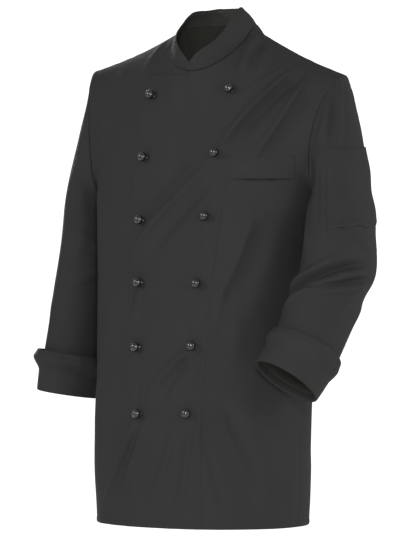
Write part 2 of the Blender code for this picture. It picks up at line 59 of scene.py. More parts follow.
SEAM_PUCKER_PITCH = 0.009
STITCH_PUCKER = 0.00030
STITCH_PUCKER_PITCH = 0.008
TURNED_PUFF = 0.00035   # swell of a turned edge up to its stitches
HEM_PUFF = 0.0005
HEM_WAVE = 0.0011       # slow wave of the hem
SEWN_ROLL = 0.0001      # how far a rim swells where it is sewn in,
TURNED_ROLL = 0.0006    # where it is turned,
COLLAR_ROLL = 0.0009    # and on the collar and the small pieces
PATCH_ROLL = 0.0004
POCKET_ROLL = 0.0003
FOLD_GAIN = 1.5         # overall strength of the folds on the body
EDGE_STITCH = 0.0070    # topstitching on the front edges and collar
HEM_STITCH = 0.0085
GROOVE_DEPTH = 0.00045
GROOVE_WIDTH = 0.0009

# Main heights, measured from the neck base
HEM_Z = -0.801
UNDERARM_Z = -0.275
SHOULDER_TIP_Z = -0.066
FLAP_TOP_Z = -0.068     # straight top edge of each front beyond the collar end

# Lengths that turn shares and levels into metres when rows and columns are spaced
BELOW_LENGTH = UNDERARM_Z - HEM_Z
ABOVE_LENGTH = 0.250
HALF_WIDTH = 0.270
FLAP_LENGTH = 0.080
HEAD_LENGTH = 0.170     # a sleeve's head
TOP_Z = 0.030           # about the height of the back neck

# Plan sizes of the seam points
UNDERARM_X = 0.204
SHOULDER_TIP_X = 0.234
SHOULDER_TIP_Y = 0.018
SHOULDER_DIP = 0.005
ARMHOLE_FRONT = 0.057
ARMHOLE_BACK = 0.055
UNDER_INSET = 0.0012    # the covered flap lies this much further in,
UNDER_INSET_RUN = 0.030  # after this run from the centre
SECTION_POWER = 2.2     # 2 is an ellipse; more is squarer

# Ways in which the cloth arrives at its top: out to the side, forwards, up
CENTRE_WAY_FRONT = (0, 0.21, 0.93)
CENTRE_WAY_BACK = (0, 0.45, 0.93)
NECK_WAY = (-0.15, 0.85, 0.50)
TIP_WAY = (0.10, 0.97, 0.15)

# Body sections. Columns: height, half width, y at centre front, centre back and side
BODY_SECTIONS = [
    (-0.801, 0.1810, -0.1760, 0.0960, -0.0400),
    (-0.602, 0.1835, -0.1715, 0.1010, -0.0330),
    (-0.450, 0.1895, -0.1580, 0.1010, -0.0240),
    (-0.348, 0.1950, -0.1450, 0.1050, -0.0160),
    (-0.275, 0.2040, -0.1320, 0.1120, -0.0060),
]

# Collar sections from centre front (0) to centre back (180 degrees).
# Columns: angle, then x, y, z of the neck seam and x, y, z of the top edge
COLLAR_SECTIONS = [
    (0, 0.000, -0.0787, -0.0610, 0.000, -0.0815, -0.0455),
    (20, 0.026, -0.0745, -0.0560, 0.018, -0.0825, -0.0290),
    (45, 0.050, -0.0535, -0.0395, 0.037, -0.0630, -0.0110),
    (70, 0.066, -0.0220, -0.0140, 0.046, -0.0350, 0.0145),
    (90, 0.069, 0.0080, 0.0095, 0.0460, -0.0020, 0.0385),
    (120, 0.057, 0.0410, 0.0125, 0.037, 0.0270, 0.0400),
    (150, 0.033, 0.0620, 0.0115, 0.024, 0.0450, 0.0395),
    (180, 0.000, 0.0680, 0.0105, 0.000, 0.0520, 0.0390),
]

# The neck sits lower on the wearer's right. Columns: angle, drop of the neck seam and
# of the collar's top edge
RIGHT_NECK_DROP = [
    (0, 0.000, 0.000),
    (20, -0.001, -0.002),
    (45, -0.001, -0.002),
    (70, 0.004, 0.0065),
    (90, 0.0085, 0.0095),
    (120, 0.004, 0.005),
    (150, 0.001, 0.002),
    (180, 0.000, 0.000),
]

# Free front edge. Columns: height, distance from centre front
FRONT_EDGE = [
    (-0.801, 0.067),
    (-0.450, 0.073),
    (-0.235, 0.085),
    (-0.066, 0.093),
]

# Buttons. Columns: x and height of the wearer's left one, then of the right one
BUTTON_ROWS = [
    (0.0745, -0.0895, -0.0695, -0.1020),
    (0.0670, -0.1920, -0.0650, -0.2015),
    (0.0605, -0.2940, -0.0585, -0.3030),
    (0.0550, -0.4025, -0.0530, -0.4040),
    (0.0520, -0.5035, -0.0505, -0.5085),
    (0.0475, -0.6130, -0.0425, -0.6165),
]
BALL_RADIUS = 0.0078
SHANK_RADIUS = 0.0030
SHANK_LENGTH = 0.0016

# Sleeves, in outward coordinates (x away from the body). Columns: x, y, z of the
# sleeve's middle, half size across (away from the body), half size fore and aft
LEFT_ARM = [
    (0.2545, -0.0300, -0.310, 0.0490, 0.0740),
    (0.2620, -0.0470, -0.350, 0.0550, 0.0740),
    (0.2640, -0.0600, -0.390, 0.0590, 0.0720),
    (0.2510, -0.0865, -0.442, 0.0570, 0.0650),
    (0.2410, -0.1160, -0.496, 0.0550, 0.0600),
    (0.2220, -0.1540, -0.556, 0.0550, 0.0560),
]
RIGHT_ARM = [
    (0.2490, 0.0360, -0.310, 0.0430, 0.0720),
    (0.2470, 0.0220, -0.360, 0.0440, 0.0680),
    (0.2490, 0.0020, -0.430, 0.0460, 0.0640),
    (0.2580, -0.0120, -0.518, 0.0460, 0.0580),
    (0.2680, -0.0200, -0.600, 0.0460, 0.0560),
]
LEFT_HEAD_OUT = 0.15    # how far a sleeve starts outwards at the shoulder tip
RIGHT_HEAD_OUT = -0.12
HEAD_OUT_UNDER = 1.40   # and at the underarm
CUFF_DEPTH = 0.066
CUFF_RETURN = 0.012     # part of the cuff inside the fold, up to the sleeve's end
CUFF_STAND = 0.0022     # gap between the sleeve and the turned-back layer
LEFT_CUFF_FLARE = 0.0050
RIGHT_CUFF_FLARE = 0.0105
LEFT_CUFF_SWELL = 0.0016    # how unevenly a cuff stands off
RIGHT_CUFF_SWELL = 0.0030
SLEEVE_GIRTH_RUN = 0.06     # metres for each radian round a sleeve or cuff

# Pockets
WELT_TOP_Z = -0.196
WELT_MOUTH_Z = -0.2325
WELT_INNER_X = 0.0930
WELT_OUTER_X = 0.1860
PATCH_TOP_Z = -0.184    # the patch on the left sleeve
PATCH_FOOT_Z = -0.312

# Collar
COLLAR_LAP = 8.0        # degrees by which its ends pass each other

# Folds on the fronts, in the plane of the front. Columns: x and z where the fold starts,
# x and z where it dies out, sideways bow, half width, height (a trough is negative) and
# lean (its steeper side)
FRONT_FOLDS = [
    # from the left shoulder across the chest
    (0.170, -0.050, 0.064, -0.202, -0.006, 0.0064, 0.0054, 0.5),
    (0.176, -0.064, 0.082, -0.204, -0.004, 0.0100, -0.0050, -0.3),
    (0.190, -0.062, 0.114, -0.222, 0.006, 0.0064, 0.0044, 0.5),
    (0.196, -0.085, 0.150, -0.200, 0.004, 0.0100, -0.0032, 0.0),
    (0.150, -0.052, 0.098, -0.102, -0.002, 0.0050, 0.0020, 0.3),
    (0.080, 0.000, 0.087, -0.064, 0.003, 0.0065, 0.0030, 0.4),
    (0.092, -0.004, 0.101, -0.070, 0.003, 0.0070, -0.0026, 0.0),
    (0.106, -0.020, 0.112, -0.068, 0.002, 0.0080, 0.0016, 0.0),
    # from the right shoulder
    (-0.090, -0.012, -0.106, -0.075, -0.003, 0.0080, 0.0016, 0.0),
    (-0.165, -0.058, -0.128, -0.150, 0.004, 0.0120, 0.0016, 0.2),
    (-0.200, -0.090, -0.165, -0.205, 0.004, 0.0140, 0.0018, 0.2),
    # long pulls across the closure, from the left chest to the right waist
    (0.066, -0.204, -0.088, -0.372, -0.003, 0.0110, 0.0040, 0.4),
    (0.066, -0.236, -0.050, -0.372, -0.002, 0.0100, -0.0034, 0.0),
    (0.026, -0.196, -0.080, -0.312, -0.002, 0.0100, -0.0026, 0.0),
    (0.010, -0.262, -0.090, -0.402, -0.008, 0.0070, 0.0026, 0.3),
    (-0.058, -0.300, -0.086, -0.352, 0.000, 0.0060, 0.0013, 0.0),
    # left side of the waist, below the pocket
    (0.134, -0.300, 0.080, -0.446, 0.006, 0.0080, 0.0032, 0.4),
    (0.156, -0.292, 0.102, -0.464, 0.006, 0.0170, -0.0038, 0.0),
    (0.190, -0.290, 0.172, -0.510, 0.004, 0.0400, -0.0054, 0.0),
    (0.098, -0.402, 0.072, -0.520, 0.004, 0.0070, 0.0018, 0.2),
    (0.120, -0.450, 0.110, -0.560, 0.004, 0.0140, 0.0018, 0.2),
    (0.060, -0.300, 0.040, -0.352, 0.002, 0.0070, 0.0010, 0.0),
    # between the buttons
    (0.055, -0.406, 0.043, -0.462, 0.002, 0.0055, -0.0014, 0.0),
    (0.047, -0.412, 0.006, -0.470, 0.004, 0.0070, 0.0010, 0.0),
    (-0.056, -0.410, -0.074, -0.470, -0.004, 0.0050, -0.0015, 0.0),
    (-0.050, -0.412, -0.062, -0.478, -0.003, 0.0060, 0.0012, 0.0),
    (0.046, -0.512, -0.030, -0.598, -0.006, 0.0070, 0.0032, 0.4),
    (0.050, -0.520, -0.010, -0.606, -0.004, 0.0070, -0.0028, 0.0),
    (0.056, -0.516, 0.060, -0.580, 0.002, 0.0070, -0.0012, 0.0),
    (-0.044, -0.602, -0.040, -0.560, 0.002, 0.0042, -0.0018, 0.0),
    (-0.036, -0.604, -0.028, -0.568, 0.002, 0.0042, -0.0014, 0.0),
    (0.040, -0.612, -0.014, -0.600, 0.008, 0.0060, 0.0014, 0.2),
    # skirt
    (-0.050, -0.628, -0.134, -0.778, 0.006, 0.0070, 0.0038, 0.4),
    (-0.046, -0.640, -0.120, -0.782, 0.008, 0.0080, -0.0016, 0.0),
    (-0.030, -0.632, -0.092, -0.776, 0.004, 0.0070, 0.0032, 0.3),
    (0.028, -0.636, -0.024, -0.786, 0.004, 0.0080, 0.0034, 0.3),
    (0.054, -0.640, 0.030, -0.790, 0.003, 0.0070, 0.0030, 0.3),
    (0.090, -0.596, 0.164, -0.822, 0.004, 0.0270, -0.0090, 0.9),
    (0.078, -0.650, 0.116, -0.790, -0.004, 0.0080, -0.0022, 0.0),
    (0.126, -0.590, 0.196, -0.800, 0.002, 0.0160, 0.0034, 0.0),
    (-0.150, -0.560, -0.164, -0.790, 0.000, 0.0180, 0.0024, 0.0),
    (-0.120, -0.430, -0.140, -0.600, 0.004, 0.0160, 0.0016, 0.0),
]

# Folds on the back, in its own plane, in the same columns
BACK_FOLDS = [
    (-0.150, -0.060, -0.090, -0.190, 0.008, 0.0110, 0.0030, 0.3),
    (0.155, -0.060, 0.095, -0.205, -0.008, 0.0110, 0.0034, 0.3),
    (-0.185, -0.110, -0.120, -0.280, 0.006, 0.0130, 0.0034, 0.2),
    (0.188, -0.115, 0.128, -0.270, -0.006, 0.0130, 0.0036, 0.2),
    (-0.165, -0.120, -0.100, -0.290, 0.006, 0.0120, -0.0030, 0.0),
    (0.170, -0.125, 0.108, -0.285, -0.006, 0.0120, -0.0030, 0.0),
    (-0.075, -0.230, -0.020, -0.470, 0.010, 0.0140, 0.0028, 0.2),
    (0.080, -0.250, 0.030, -0.455, -0.010, 0.0140, 0.0026, 0.2),
    (-0.060, -0.300, 0.000, -0.520, 0.008, 0.0120, -0.0024, 0.0),
    (0.065, -0.290, 0.020, -0.500, -0.006, 0.0120, -0.0024, 0.0),
    (-0.170, -0.330, -0.110, -0.430, 0.006, 0.0100, 0.0026, 0.2),
    (0.172, -0.340, 0.118, -0.440, -0.006, 0.0100, 0.0026, 0.2),
    (-0.160, -0.360, -0.100, -0.460, 0.006, 0.0090, -0.0022, 0.0),
    (0.163, -0.375, 0.108, -0.470, -0.006, 0.0090, -0.0022, 0.0),
    (-0.120, -0.520, -0.148, -0.790, 0.004, 0.0180, 0.0046, 0.0),
    (0.125, -0.540, 0.150, -0.790, -0.004, 0.0180, 0.0044, 0.0),
    (-0.070, -0.540, -0.084, -0.790, 0.003, 0.0160, -0.0044, 0.0),
    (0.072, -0.560, 0.084, -0.790, -0.003, 0.0160, -0.0040, 0.0),
    (-0.020, -0.540, -0.026, -0.790, 0.003, 0.0150, 0.0036, 0.0),
    (0.030, -0.560, 0.034, -0.790, -0.002, 0.0150, 0.0032, 0.0),
    (0.000, -0.060, 0.000, -0.200, 0.002, 0.0160, 0.0014, 0.0),
]

# Folds on the sleeves. Columns as above, but the first of each pair is the angle round
# the sleeve in degrees: 0 faces outwards, 90 forwards, 180 the body
LEFT_SLEEVE_FOLDS = [
    (14, -0.070, 56, -0.196, -0.006, 0.0056, 0.0048, 0.4),
    (2, -0.074, 38, -0.190, -0.004, 0.0080, -0.0034, 0.0),
    (40, -0.094, 84, -0.180, -0.004, 0.0054, 0.0040, 0.3),
    (34, -0.105, 70, -0.200, -0.004, 0.0060, -0.0032, 0.0),
    (-30, -0.084, -52, -0.190, 0.004, 0.0090, 0.0026, 0.2),
    (-58, -0.110, -74, -0.230, 0.004, 0.0100, 0.0024, 0.2),
    (92, -0.190, 104, -0.320, 0.004, 0.0080, 0.0020, 0.2),
    (82, -0.215, 74, -0.345, 0.002, 0.0050, 0.0034, 0.3),
    (44, -0.316, -12, -0.352, 0.002, 0.0044, 0.0036, 0.3),
    (124, -0.250, 112, -0.380, 0.004, 0.0090, 0.0022, 0.2),
    (160, -0.432, -14, -0.366, -0.018, 0.0052, -0.0100, 0.3),
    (134, -0.436, 4, -0.382, -0.012, 0.0062, 0.0070, 0.2),
    (150, -0.416, 20, -0.350, -0.012, 0.0074, 0.0085, 0.4),
    (100, -0.404, -26, -0.395, -0.004, 0.0046, -0.0082, 0.3),
    (92, -0.416, -10, -0.410, -0.004, 0.0062, 0.0052, 0.2),
    (60, -0.380, 4, -0.376, 0.003, 0.0050, 0.0040, 0.0),
    (140, -0.392, 60, -0.338, -0.006, 0.0070, 0.0020, 0.2),
    (60, -0.338, -10, -0.332, 0.004, 0.0060, 0.0018, 0.2),
    (-46, -0.345, -96, -0.372, 0.004, 0.0090, 0.0022, 0.2),
    (-40, -0.400, -110, -0.420, 0.004, 0.0100, 0.0020, 0.2),
    (150, -0.445, 60, -0.432, -0.006, 0.0080, 0.0024, 0.2),
    (100, -0.450, 20, -0.490, 0.004, 0.0090, 0.0014, 0.0),
    (-110, -0.250, 50, -0.260, 0.000, 0.0260, -0.0050, 0.0),
    (-110, -0.426, 50, -0.434, 0.000, 0.0270, -0.0072, 0.0),
    (10, -0.398, 30, -0.470, 0.004, 0.0080, 0.0036, 0.3),
    (-40, -0.440, 0, -0.500, 0.004, 0.0100, 0.0016, 0.0),
    (176, -0.330, 130, -0.408, 0.004, 0.0080, -0.0026, 0.0),
]
RIGHT_SLEEVE_FOLDS = [
    (20, -0.078, 50, -0.180, -0.004, 0.0110, 0.0016, 0.2),
    (-20, -0.082, -44, -0.190, 0.004, 0.0100, 0.0022, 0.2),
    (-62, -0.120, -80, -0.240, 0.004, 0.0110, 0.0024, 0.2),
    (76, -0.140, 92, -0.300, 0.004, 0.0130, 0.0018, 0.2),
    (104, -0.200, 110, -0.400, 0.004, 0.0140, 0.0020, 0.2),
    (60, -0.300, 120, -0.356, 0.004, 0.0110, 0.0014, 0.2),
    (50, -0.370, 116, -0.392, -0.006, 0.0110, 0.0016, 0.2),
    (150, -0.360, 90, -0.330, -0.004, 0.0090, 0.0020, 0.2),
    (160, -0.390, 84, -0.420, 0.004, 0.0090, 0.0022, 0.2),
    (-50, -0.340, -120, -0.372, 0.004, 0.0100, 0.0026, 0.2),
    (-44, -0.392, -116, -0.400, -0.004, 0.0100, 0.0024, 0.2),
    (-60, -0.440, -100, -0.540, 0.004, 0.0120, 0.0018, 0.0),
    (40, -0.440, 66, -0.550, 0.004, 0.0140, 0.0012, 0.0),
]

# Cut sizes of each piece: width, length and area of what shows, in metres
CUT_SIZES = {
    "left_front": (0.365, 0.860, 0.268),
    "right_front": (0.365, 0.860, 0.265),
    "back_panel": (0.540, 0.850, 0.410),
    "collar_band": (0.455, 0.042, 0.0166),
    "left_sleeve": (0.430, 0.530, 0.167),
    "right_sleeve": (0.420, 0.520, 0.154),
    "left_cuff": (0.380, 0.080, 0.0300),
    "right_cuff": (0.360, 0.080, 0.0286),
    "breast_pocket_band": (0.114, 0.040, 0.0044),
    "sleeve_patch": (0.150, 0.130, 0.0194),
}


def curve_through(knots, values):
    """A natural cubic curve through the given values; works on arrays."""
    x = np.array(knots, dtype=float)
    y = np.array(values, dtype=float)
    if y.ndim == 1:
        y = y[:, None]
    count = len(x)
    step = np.diff(x)
    system = np.eye(count)
    right = np.zeros_like(y)
    for i in range(1, count - 1):
        system[i, i - 1] = step[i - 1]
        system[i, i] = 2 * (step[i - 1] + step[i])
        system[i, i + 1] = step[i]
        slope_after = (y[i + 1] - y[i]) / step[i]
        slope_before = (y[i] - y[i - 1]) / step[i - 1]
        right[i] = 6 * (slope_after - slope_before)
    bend = np.linalg.solve(system, right)

    def evaluate(at):
        at = np.asarray(at, dtype=float)
        i = np.clip(np.searchsorted(x, at) - 1, 0, count - 2)
        h = step[i][..., None]
        after = (at - x[i])[..., None]
        before = h - after
        return ((bend[i] * before ** 3 + bend[i + 1] * after ** 3) / (6 * h)
                + (y[i] / h - bend[i] * h / 6) * before
                + (y[i + 1] / h - bend[i + 1] * h / 6) * after)

    return evaluate


def smoothstep(x):
    x = np.clip(x, 0.0, 1.0)
    return x * x * (3 - 2 * x)


def unit(vectors):
    length = np.linalg.norm(vectors, axis=-1, keepdims=True)
    return vectors / np.maximum(length, 1e-12)


def hermite(start, start_pull, end, end_pull, t):
    """Curve from start to end that leaves and arrives along the two pulls."""
    t = t[..., None]
    return ((2 * t ** 3 - 3 * t ** 2 + 1) * start + (t ** 3 - 2 * t ** 2 + t) * start_pull
            + (3 * t ** 2 - 2 * t ** 3) * end + (t ** 3 - t ** 2) * end_pull)


def bulge(value):
    """Superellipse rounding of a sine or cosine, keeping its sign."""
    return np.sign(value) * np.abs(value) ** (2 / SECTION_POWER)


body_section = curve_through([row[0] for row in BODY_SECTIONS],
                             [row[1:] for row in BODY_SECTIONS])
neck_section = curve_through([row[0] for row in COLLAR_SECTIONS],
                             [row[1:] for row in COLLAR_SECTIONS])
right_neck_drop = curve_through([row[0] for row in RIGHT_NECK_DROP],
                                [row[1:] for row in RIGHT_NECK_DROP])
front_edge_x = curve_through([row[0] for row in FRONT_EDGE],
                             [row[1] for row in FRONT_EDGE])


def body_ring(angle, z, back):
    """Point of the body form; angle 0 is the centre and 90 degrees the side seam."""
    size = body_section(z)
    centre_y = size[..., 2] if back else size[..., 1]
    x = size[..., 0] * bulge(np.sin(angle))
    y = size[..., 3] + (centre_y - size[..., 3]) * bulge(np.cos(angle))
    return np.stack([x, y, z + 0 * x], axis=-1)


def equal_steps(back):
    """Angles that divide the quarter ring at the underarm into equal lengths."""
    angle = np.linspace(0, math.pi / 2, 181)
    ring = body_ring(angle, np.full_like(angle, UNDERARM_Z), back)
    run = np.concatenate([[0], np.cumsum(np.linalg.norm(np.diff(ring, axis=0), axis=1))])
    return run / run[-1], angle


FRONT_STEPS = equal_steps(False)
BACK_STEPS = equal_steps(True)
NECK_SHARE_FRONT = 0.33     # share of the half width that runs up to the neckline
NECK_SHARE_BACK = 0.34
LOOK_BELOW = 0.01           # distance over which the body's slope is read at the underarm


def armhole(angle):
    """Armhole seam; 0 is the shoulder tip, 90 the front, 180 the underarm degrees."""
    angle = np.asarray(angle, dtype=float)
    half_height = (SHOULDER_TIP_Z - UNDERARM_Z) / 2
    z = UNDERARM_Z + half_height * (1 + np.cos(angle))
    rise = (z - UNDERARM_Z) / (2 * half_height)
    x = UNDERARM_X + (SHOULDER_TIP_X - UNDERARM_X) * rise ** 3
    side_y = BODY_SECTIONS[-1][4]
    middle_y = side_y + (SHOULDER_TIP_Y - side_y) * rise
    reach = np.where(np.sin(angle) > 0, ARMHOLE_FRONT, ARMHOLE_BACK)
    return np.stack([x, middle_y - reach * np.sin(angle), z], axis=-1)


def neck_points(angle, on_right):
    """Neck seam and collar top at an angle, as points of the left half (x positive)."""
    both = neck_section(angle)
    drop = right_neck_drop(angle) * np.where(on_right, 1, 0)[..., None]
    seam = both[..., :3].copy()
    top = both[..., 3:].copy()
    seam[..., 2] -= drop[..., 0]
    top[..., 2] -= drop[..., 1]
    return seam, top


def shoulder_seam(share, on_right):
    """From the neck point (0) to the shoulder tip (1)."""
    share = np.asarray(share, dtype=float)
    neck = neck_points(np.full_like(share, 90.0), on_right)[0]
    tip = np.array([SHOULDER_TIP_X, SHOULDER_TIP_Y, SHOULDER_TIP_Z])
    seam = neck + (tip - neck) * share[..., None]
    seam[..., 2] -= SHOULDER_DIP * np.sin(math.pi * share)
    return seam


def blend(first, second, share):
    share = np.asarray(share)[..., None]
    return np.array(first) * (1 - share) + np.array(second) * share


def body_surface(w, v, back=False):
    """Body form. w runs from the right side seam (-1) to the left one (1); v runs from
    the hem (0) to the underarm (1) and on to the neckline or shoulder seam (2)."""
    w, v = np.broadcast_arrays(np.asarray(w, dtype=float), np.asarray(v, dtype=float))
    share = np.clip(np.abs(w), 0, 1)
    run, angles = BACK_STEPS if back else FRONT_STEPS
    angle = np.interp(share, run, angles)
    lower_z = HEM_Z + (UNDERARM_Z - HEM_Z) * np.clip(v, 0, 1)
    lower = body_ring(angle, lower_z, back)

    t = np.clip(v - 1, 0, 1)
    start = body_ring(angle, np.full_like(angle, UNDERARM_Z), back)
    below = body_ring(angle, np.full_like(angle, UNDERARM_Z - LOOK_BELOW), back)
    neck_share = NECK_SHARE_BACK if back else NECK_SHARE_FRONT
    round_neck = np.clip(share / neck_share, 0, 1)
    along_shoulder = np.clip((share - neck_share) / (1 - neck_share), 0, 1)
    neck_angle = 180 - 90 * round_neck if back else 90 * round_neck
    neckline = neck_points(neck_angle, w < 0)[0]
    shoulder = shoulder_seam(along_shoulder, w < 0)
    top = np.where((share <= neck_share)[..., None], neckline, shoulder)
    mirrored = (1, -1 if back else 1, 1)
    centre_way = np.multiply(CENTRE_WAY_BACK if back else CENTRE_WAY_FRONT, mirrored)
    neck_way = np.multiply(NECK_WAY, mirrored)
    tip_way = np.multiply(TIP_WAY, mirrored)
    way = blend(centre_way, neck_way, round_neck ** 1.5)
    way = np.where((share > neck_share)[..., None], blend(neck_way, tip_way, along_shoulder), way)
    pull = np.linalg.norm(top - start, axis=-1, keepdims=True)
    upper = hermite(start, unit(start - below) * pull, top, unit(way) * pull, t)

    tip_angle = math.pi * (1 - t) * (-1 if back else 1)
    one = np.ones_like(share)
    side_start = body_ring(one * math.pi / 2, np.full_like(one, UNDERARM_Z), back)
    side_below = body_ring(one * math.pi / 2, np.full_like(one, UNDERARM_Z - LOOK_BELOW), back)
    side_top = shoulder_seam(one, w < 0)
    side_pull = np.linalg.norm(side_top - side_start, axis=-1, keepdims=True)
    side = hermite(side_start, unit(side_start - side_below) * side_pull,
                   side_top, unit(tip_way) * side_pull, t)
    near = np.clip((share - 0.5) / 0.5, 0, 1)
    forward_weight = near ** (2 + 3 * (1 - smoothstep(t / 0.4)))
    side_weight = 1 - (1 - near) ** 2
    weight = np.stack([side_weight, forward_weight, forward_weight], axis=-1)
    upper = upper + weight * (armhole(tip_angle) - side)

    point = np.where((v <= 1)[..., None], lower, upper)
    point[..., 0] *= np.where(w < 0, -1, 1)
    return point


def surface_normal(surface, w, v):
    """Direction square to a surface, outwards."""
    w = np.asarray(w, dtype=float)
    v = np.asarray(v, dtype=float)
    step = 1e-3
    across = surface(w + step, v) - surface(w - step, v)
    up = surface(w, v + step) - surface(w, v - step)
    return unit(np.cross(across, up))


def lap_lift(point):
    """How far the over-lapping left front stands out over the right front; it drops
    back beyond the right front's own edge, which shows through as a step."""
    x = point[..., 0]
    z = point[..., 2]
    under_edge = front_edge_x(z)[..., 0]
    drop = LAP_DROP + LAP_SOFT_DROP * smoothstep((z - LAP_SOFT_FROM) / LAP_SOFT_RUN)
    beside = 1 - smoothstep((x - under_edge - WALL) / drop)
    above = 1 - smoothstep((z + LAP_TOP_FADE) / LAP_TOP_FADE)
    above = np.where(x < 0, 1.0, above)
    return (WALL + LAP_GAP) * beside * above


def over_surface(w, v):
    """Outer face of the left front, lifted where it laps over the right front."""
    point = body_surface(w, v)
    return point + surface_normal(body_surface, w, v) * lap_lift(point)[..., None]


def under_surface(w, v):
    """Outer face of the right front, drawn in a little where the left front covers it."""
    point = body_surface(w, v)
    inset = UNDER_INSET * smoothstep(point[..., 0] / UNDER_INSET_RUN)
    return point - surface_normal(body_surface, w, v) * inset[..., None]


def locate(x, z, surface=body_surface):
    """The (w, v) of the front at the given x and z, by slowed Newton steps."""
    x, z = np.broadcast_arrays(np.asarray(x, dtype=float), np.asarray(z, dtype=float))
    w = x / HALF_WIDTH
    v = np.where(z < UNDERARM_Z, (z - HEM_Z) / BELOW_LENGTH,
                 1 + (z - UNDERARM_Z) / (TOP_Z - UNDERARM_Z))
    step = 1e-4
    slow = 0.8
    for _ in range(25):
        here = surface(w, v)
        by_w = (surface(w + step, v) - here) / step
        by_v = (surface(w, v + step) - here) / step
        miss_x = x - here[..., 0]
        miss_z = z - here[..., 2]
        size = by_w[..., 0] * by_v[..., 2] - by_v[..., 0] * by_w[..., 2]
        size = np.where(np.abs(size) < 1e-6, 1e-6, size)
        move_w = slow * (miss_x * by_v[..., 2] - miss_z * by_v[..., 0]) / size
        move_v = slow * (by_w[..., 0] * miss_z - by_w[..., 2] * miss_x) / size
        w = np.clip(w + move_w, -0.999, 0.999)
        v = np.clip(v + move_v, 0.0, 1.999)
    return w, v


# Heights of the slow and the small unevenness of the cloth
SLOW_HEIGHT_FRONT = 0.0011
SLOW_HEIGHT_BACK = 0.0014
SLOW_HEIGHT_SLEEVE = 0.0012
SMALL_HEIGHT = 0.00022


class Sleeve:
    """A sleeve's form in outward coordinates; side is 1 for the wearer's left."""

    def __init__(self, rows, side):
        self.side = side
        self.flare = LEFT_CUFF_FLARE if side > 0 else RIGHT_CUFF_FLARE
        self.head_out = LEFT_HEAD_OUT if side > 0 else RIGHT_HEAD_OUT
        self.cuff_swell = LEFT_CUFF_SWELL if side > 0 else RIGHT_CUFF_SWELL
        table = np.array(rows)
        steps = np.linalg.norm(np.diff(table[:, :3], axis=0), axis=1)
        knots = np.concatenate([[0], np.cumsum(steps)])
        self.length = knots[-1]
        self.section = curve_through(knots, table)

    def ring(self, angle, along, out=0.0):
        """Point on the sleeve below its head; along is measured from the first row."""
        here = self.section(along)
        step = 1e-3
        way = unit(self.section(along + step)[..., :3] - self.section(along - step)[..., :3])
        fore = np.array([0.0, -1.0, 0.0])
        fore = unit(fore - way * np.sum(fore * way, axis=-1, keepdims=True))
        across = np.cross(fore, way)
        cos = np.cos(angle)[..., None]
        sin = np.sin(angle)[..., None]
        out = np.asarray(out, dtype=float)[..., None]
        wide = here[..., 3:4] + out
        deep = here[..., 4:5] + out
        return here[..., :3] + across * wide * cos + fore * deep * sin

    def head(self, angle, t):
        """Between the armhole seam (t = 0) and the first row (t = 1)."""
        seam = armhole(angle)
        end = self.ring(angle, 0 * angle)
        way = unit(self.section(np.array(1e-3))[:3] - self.section(np.array(0.0))[:3])
        under = (1 - np.cos(angle)) / 2
        out = self.head_out + (HEAD_OUT_UNDER - self.head_out) * under
        start_way = unit(way + np.stack([out, 0 * out, 0 * out], axis=-1))
        seam = seam + start_way * (SEAM_GAP * (1 + under))[..., None]
        pull = np.linalg.norm(end - seam, axis=-1, keepdims=True)
        return hermite(seam, start_way * pull, end, way * pull, t)

    def surface(self, angle, down):
        """Outer form; down runs over the head from 0 to 1 and then in metres."""
        head = self.head(angle, np.clip(down, 0, 1))
        ring = self.ring(angle, np.maximum(down - 1, 0))
        return np.where((down < 1)[..., None], head, ring)

    def fold_height(self, angle, point):
        """Folds, read at the angle (1 degree counts as 1 mm) and height of a point."""
        table = LEFT_SLEEVE_FOLDS if self.side > 0 else RIGHT_SLEEVE_FOLDS
        degrees = np.degrees(angle)
        z = point[..., 2]
        mm = 0.001
        total = 0
        for first, z0, last, z1, *form in table:
            middle = (first + last) / 2
            turned = middle + (degrees - middle + 180) % 360 - 180
            total = total + one_fold(turned * mm, z, first * mm, z0, last * mm, z1, *form)
        slow = value_noise(np.cos(angle) * 2.2 + z * 14, np.sin(angle) * 2.2 + z * 9, 31)
        return total + SLOW_HEIGHT_SLEEVE * slow


def one_fold(x, z, x0, z0, x1, z1, bow, width, height, lean):
    """Height of one soft fold: it starts quickly at its first end and dies out slowly."""
    run_x = x1 - x0
    run_z = z1 - z0
    length = math.hypot(run_x, run_z)
    along = ((x - x0) * run_x + (z - z0) * run_z) / length ** 2
    across = ((z - z0) * run_x - (x - x0) * run_z) / length
    inside = np.clip(along, 0, 1)
    across = across - bow * 4 * inside * (1 - inside)
    spread = width * (0.75 + 0.5 * inside) * np.where(across > 0, 1 - 0.5 * lean, 1 + 0.5 * lean)
    fade = smoothstep((along + 0.06) / 0.24) * smoothstep((1.06 - along) / 0.46)
    return height * np.exp(-(across / spread) ** 2) * fade


def fold_field(x, z, table):
    return FOLD_GAIN * sum(one_fold(x, z, *row) for row in table)


def value_noise(x, y, seed):
    """Smooth noise from -1 to 1 with a feature about every unit. The seed is a plain
    whole number; each seam, edge and piece has its own."""
    x, y = np.broadcast_arrays(x, y)
    size = 64
    table = np.random.RandomState(seed).uniform(-1, 1, (size, size))
    cell_x = np.floor(x).astype(int)
    cell_y = np.floor(y).astype(int)
    part_x = smoothstep(x - cell_x)
    part_y = smoothstep(y - cell_y)

    def corner(i, j):
        return table[(cell_x + i) % size, (cell_y + j) % size]

    low = corner(0, 0) * (1 - part_x) + corner(1, 0) * part_x
    high = corner(0, 1) * (1 - part_x) + corner(1, 1) * part_x
    return low * (1 - part_y) + high * part_y


def button_places():
    """Names, x and z of the twelve buttons."""
    places = []
    for row, (left_x, left_z, right_x, right_z) in enumerate(BUTTON_ROWS, start=1):
        places.append((f"button_left_{row}", left_x, left_z))
        places.append((f"button_right_{row}", right_x, right_z))
    return places


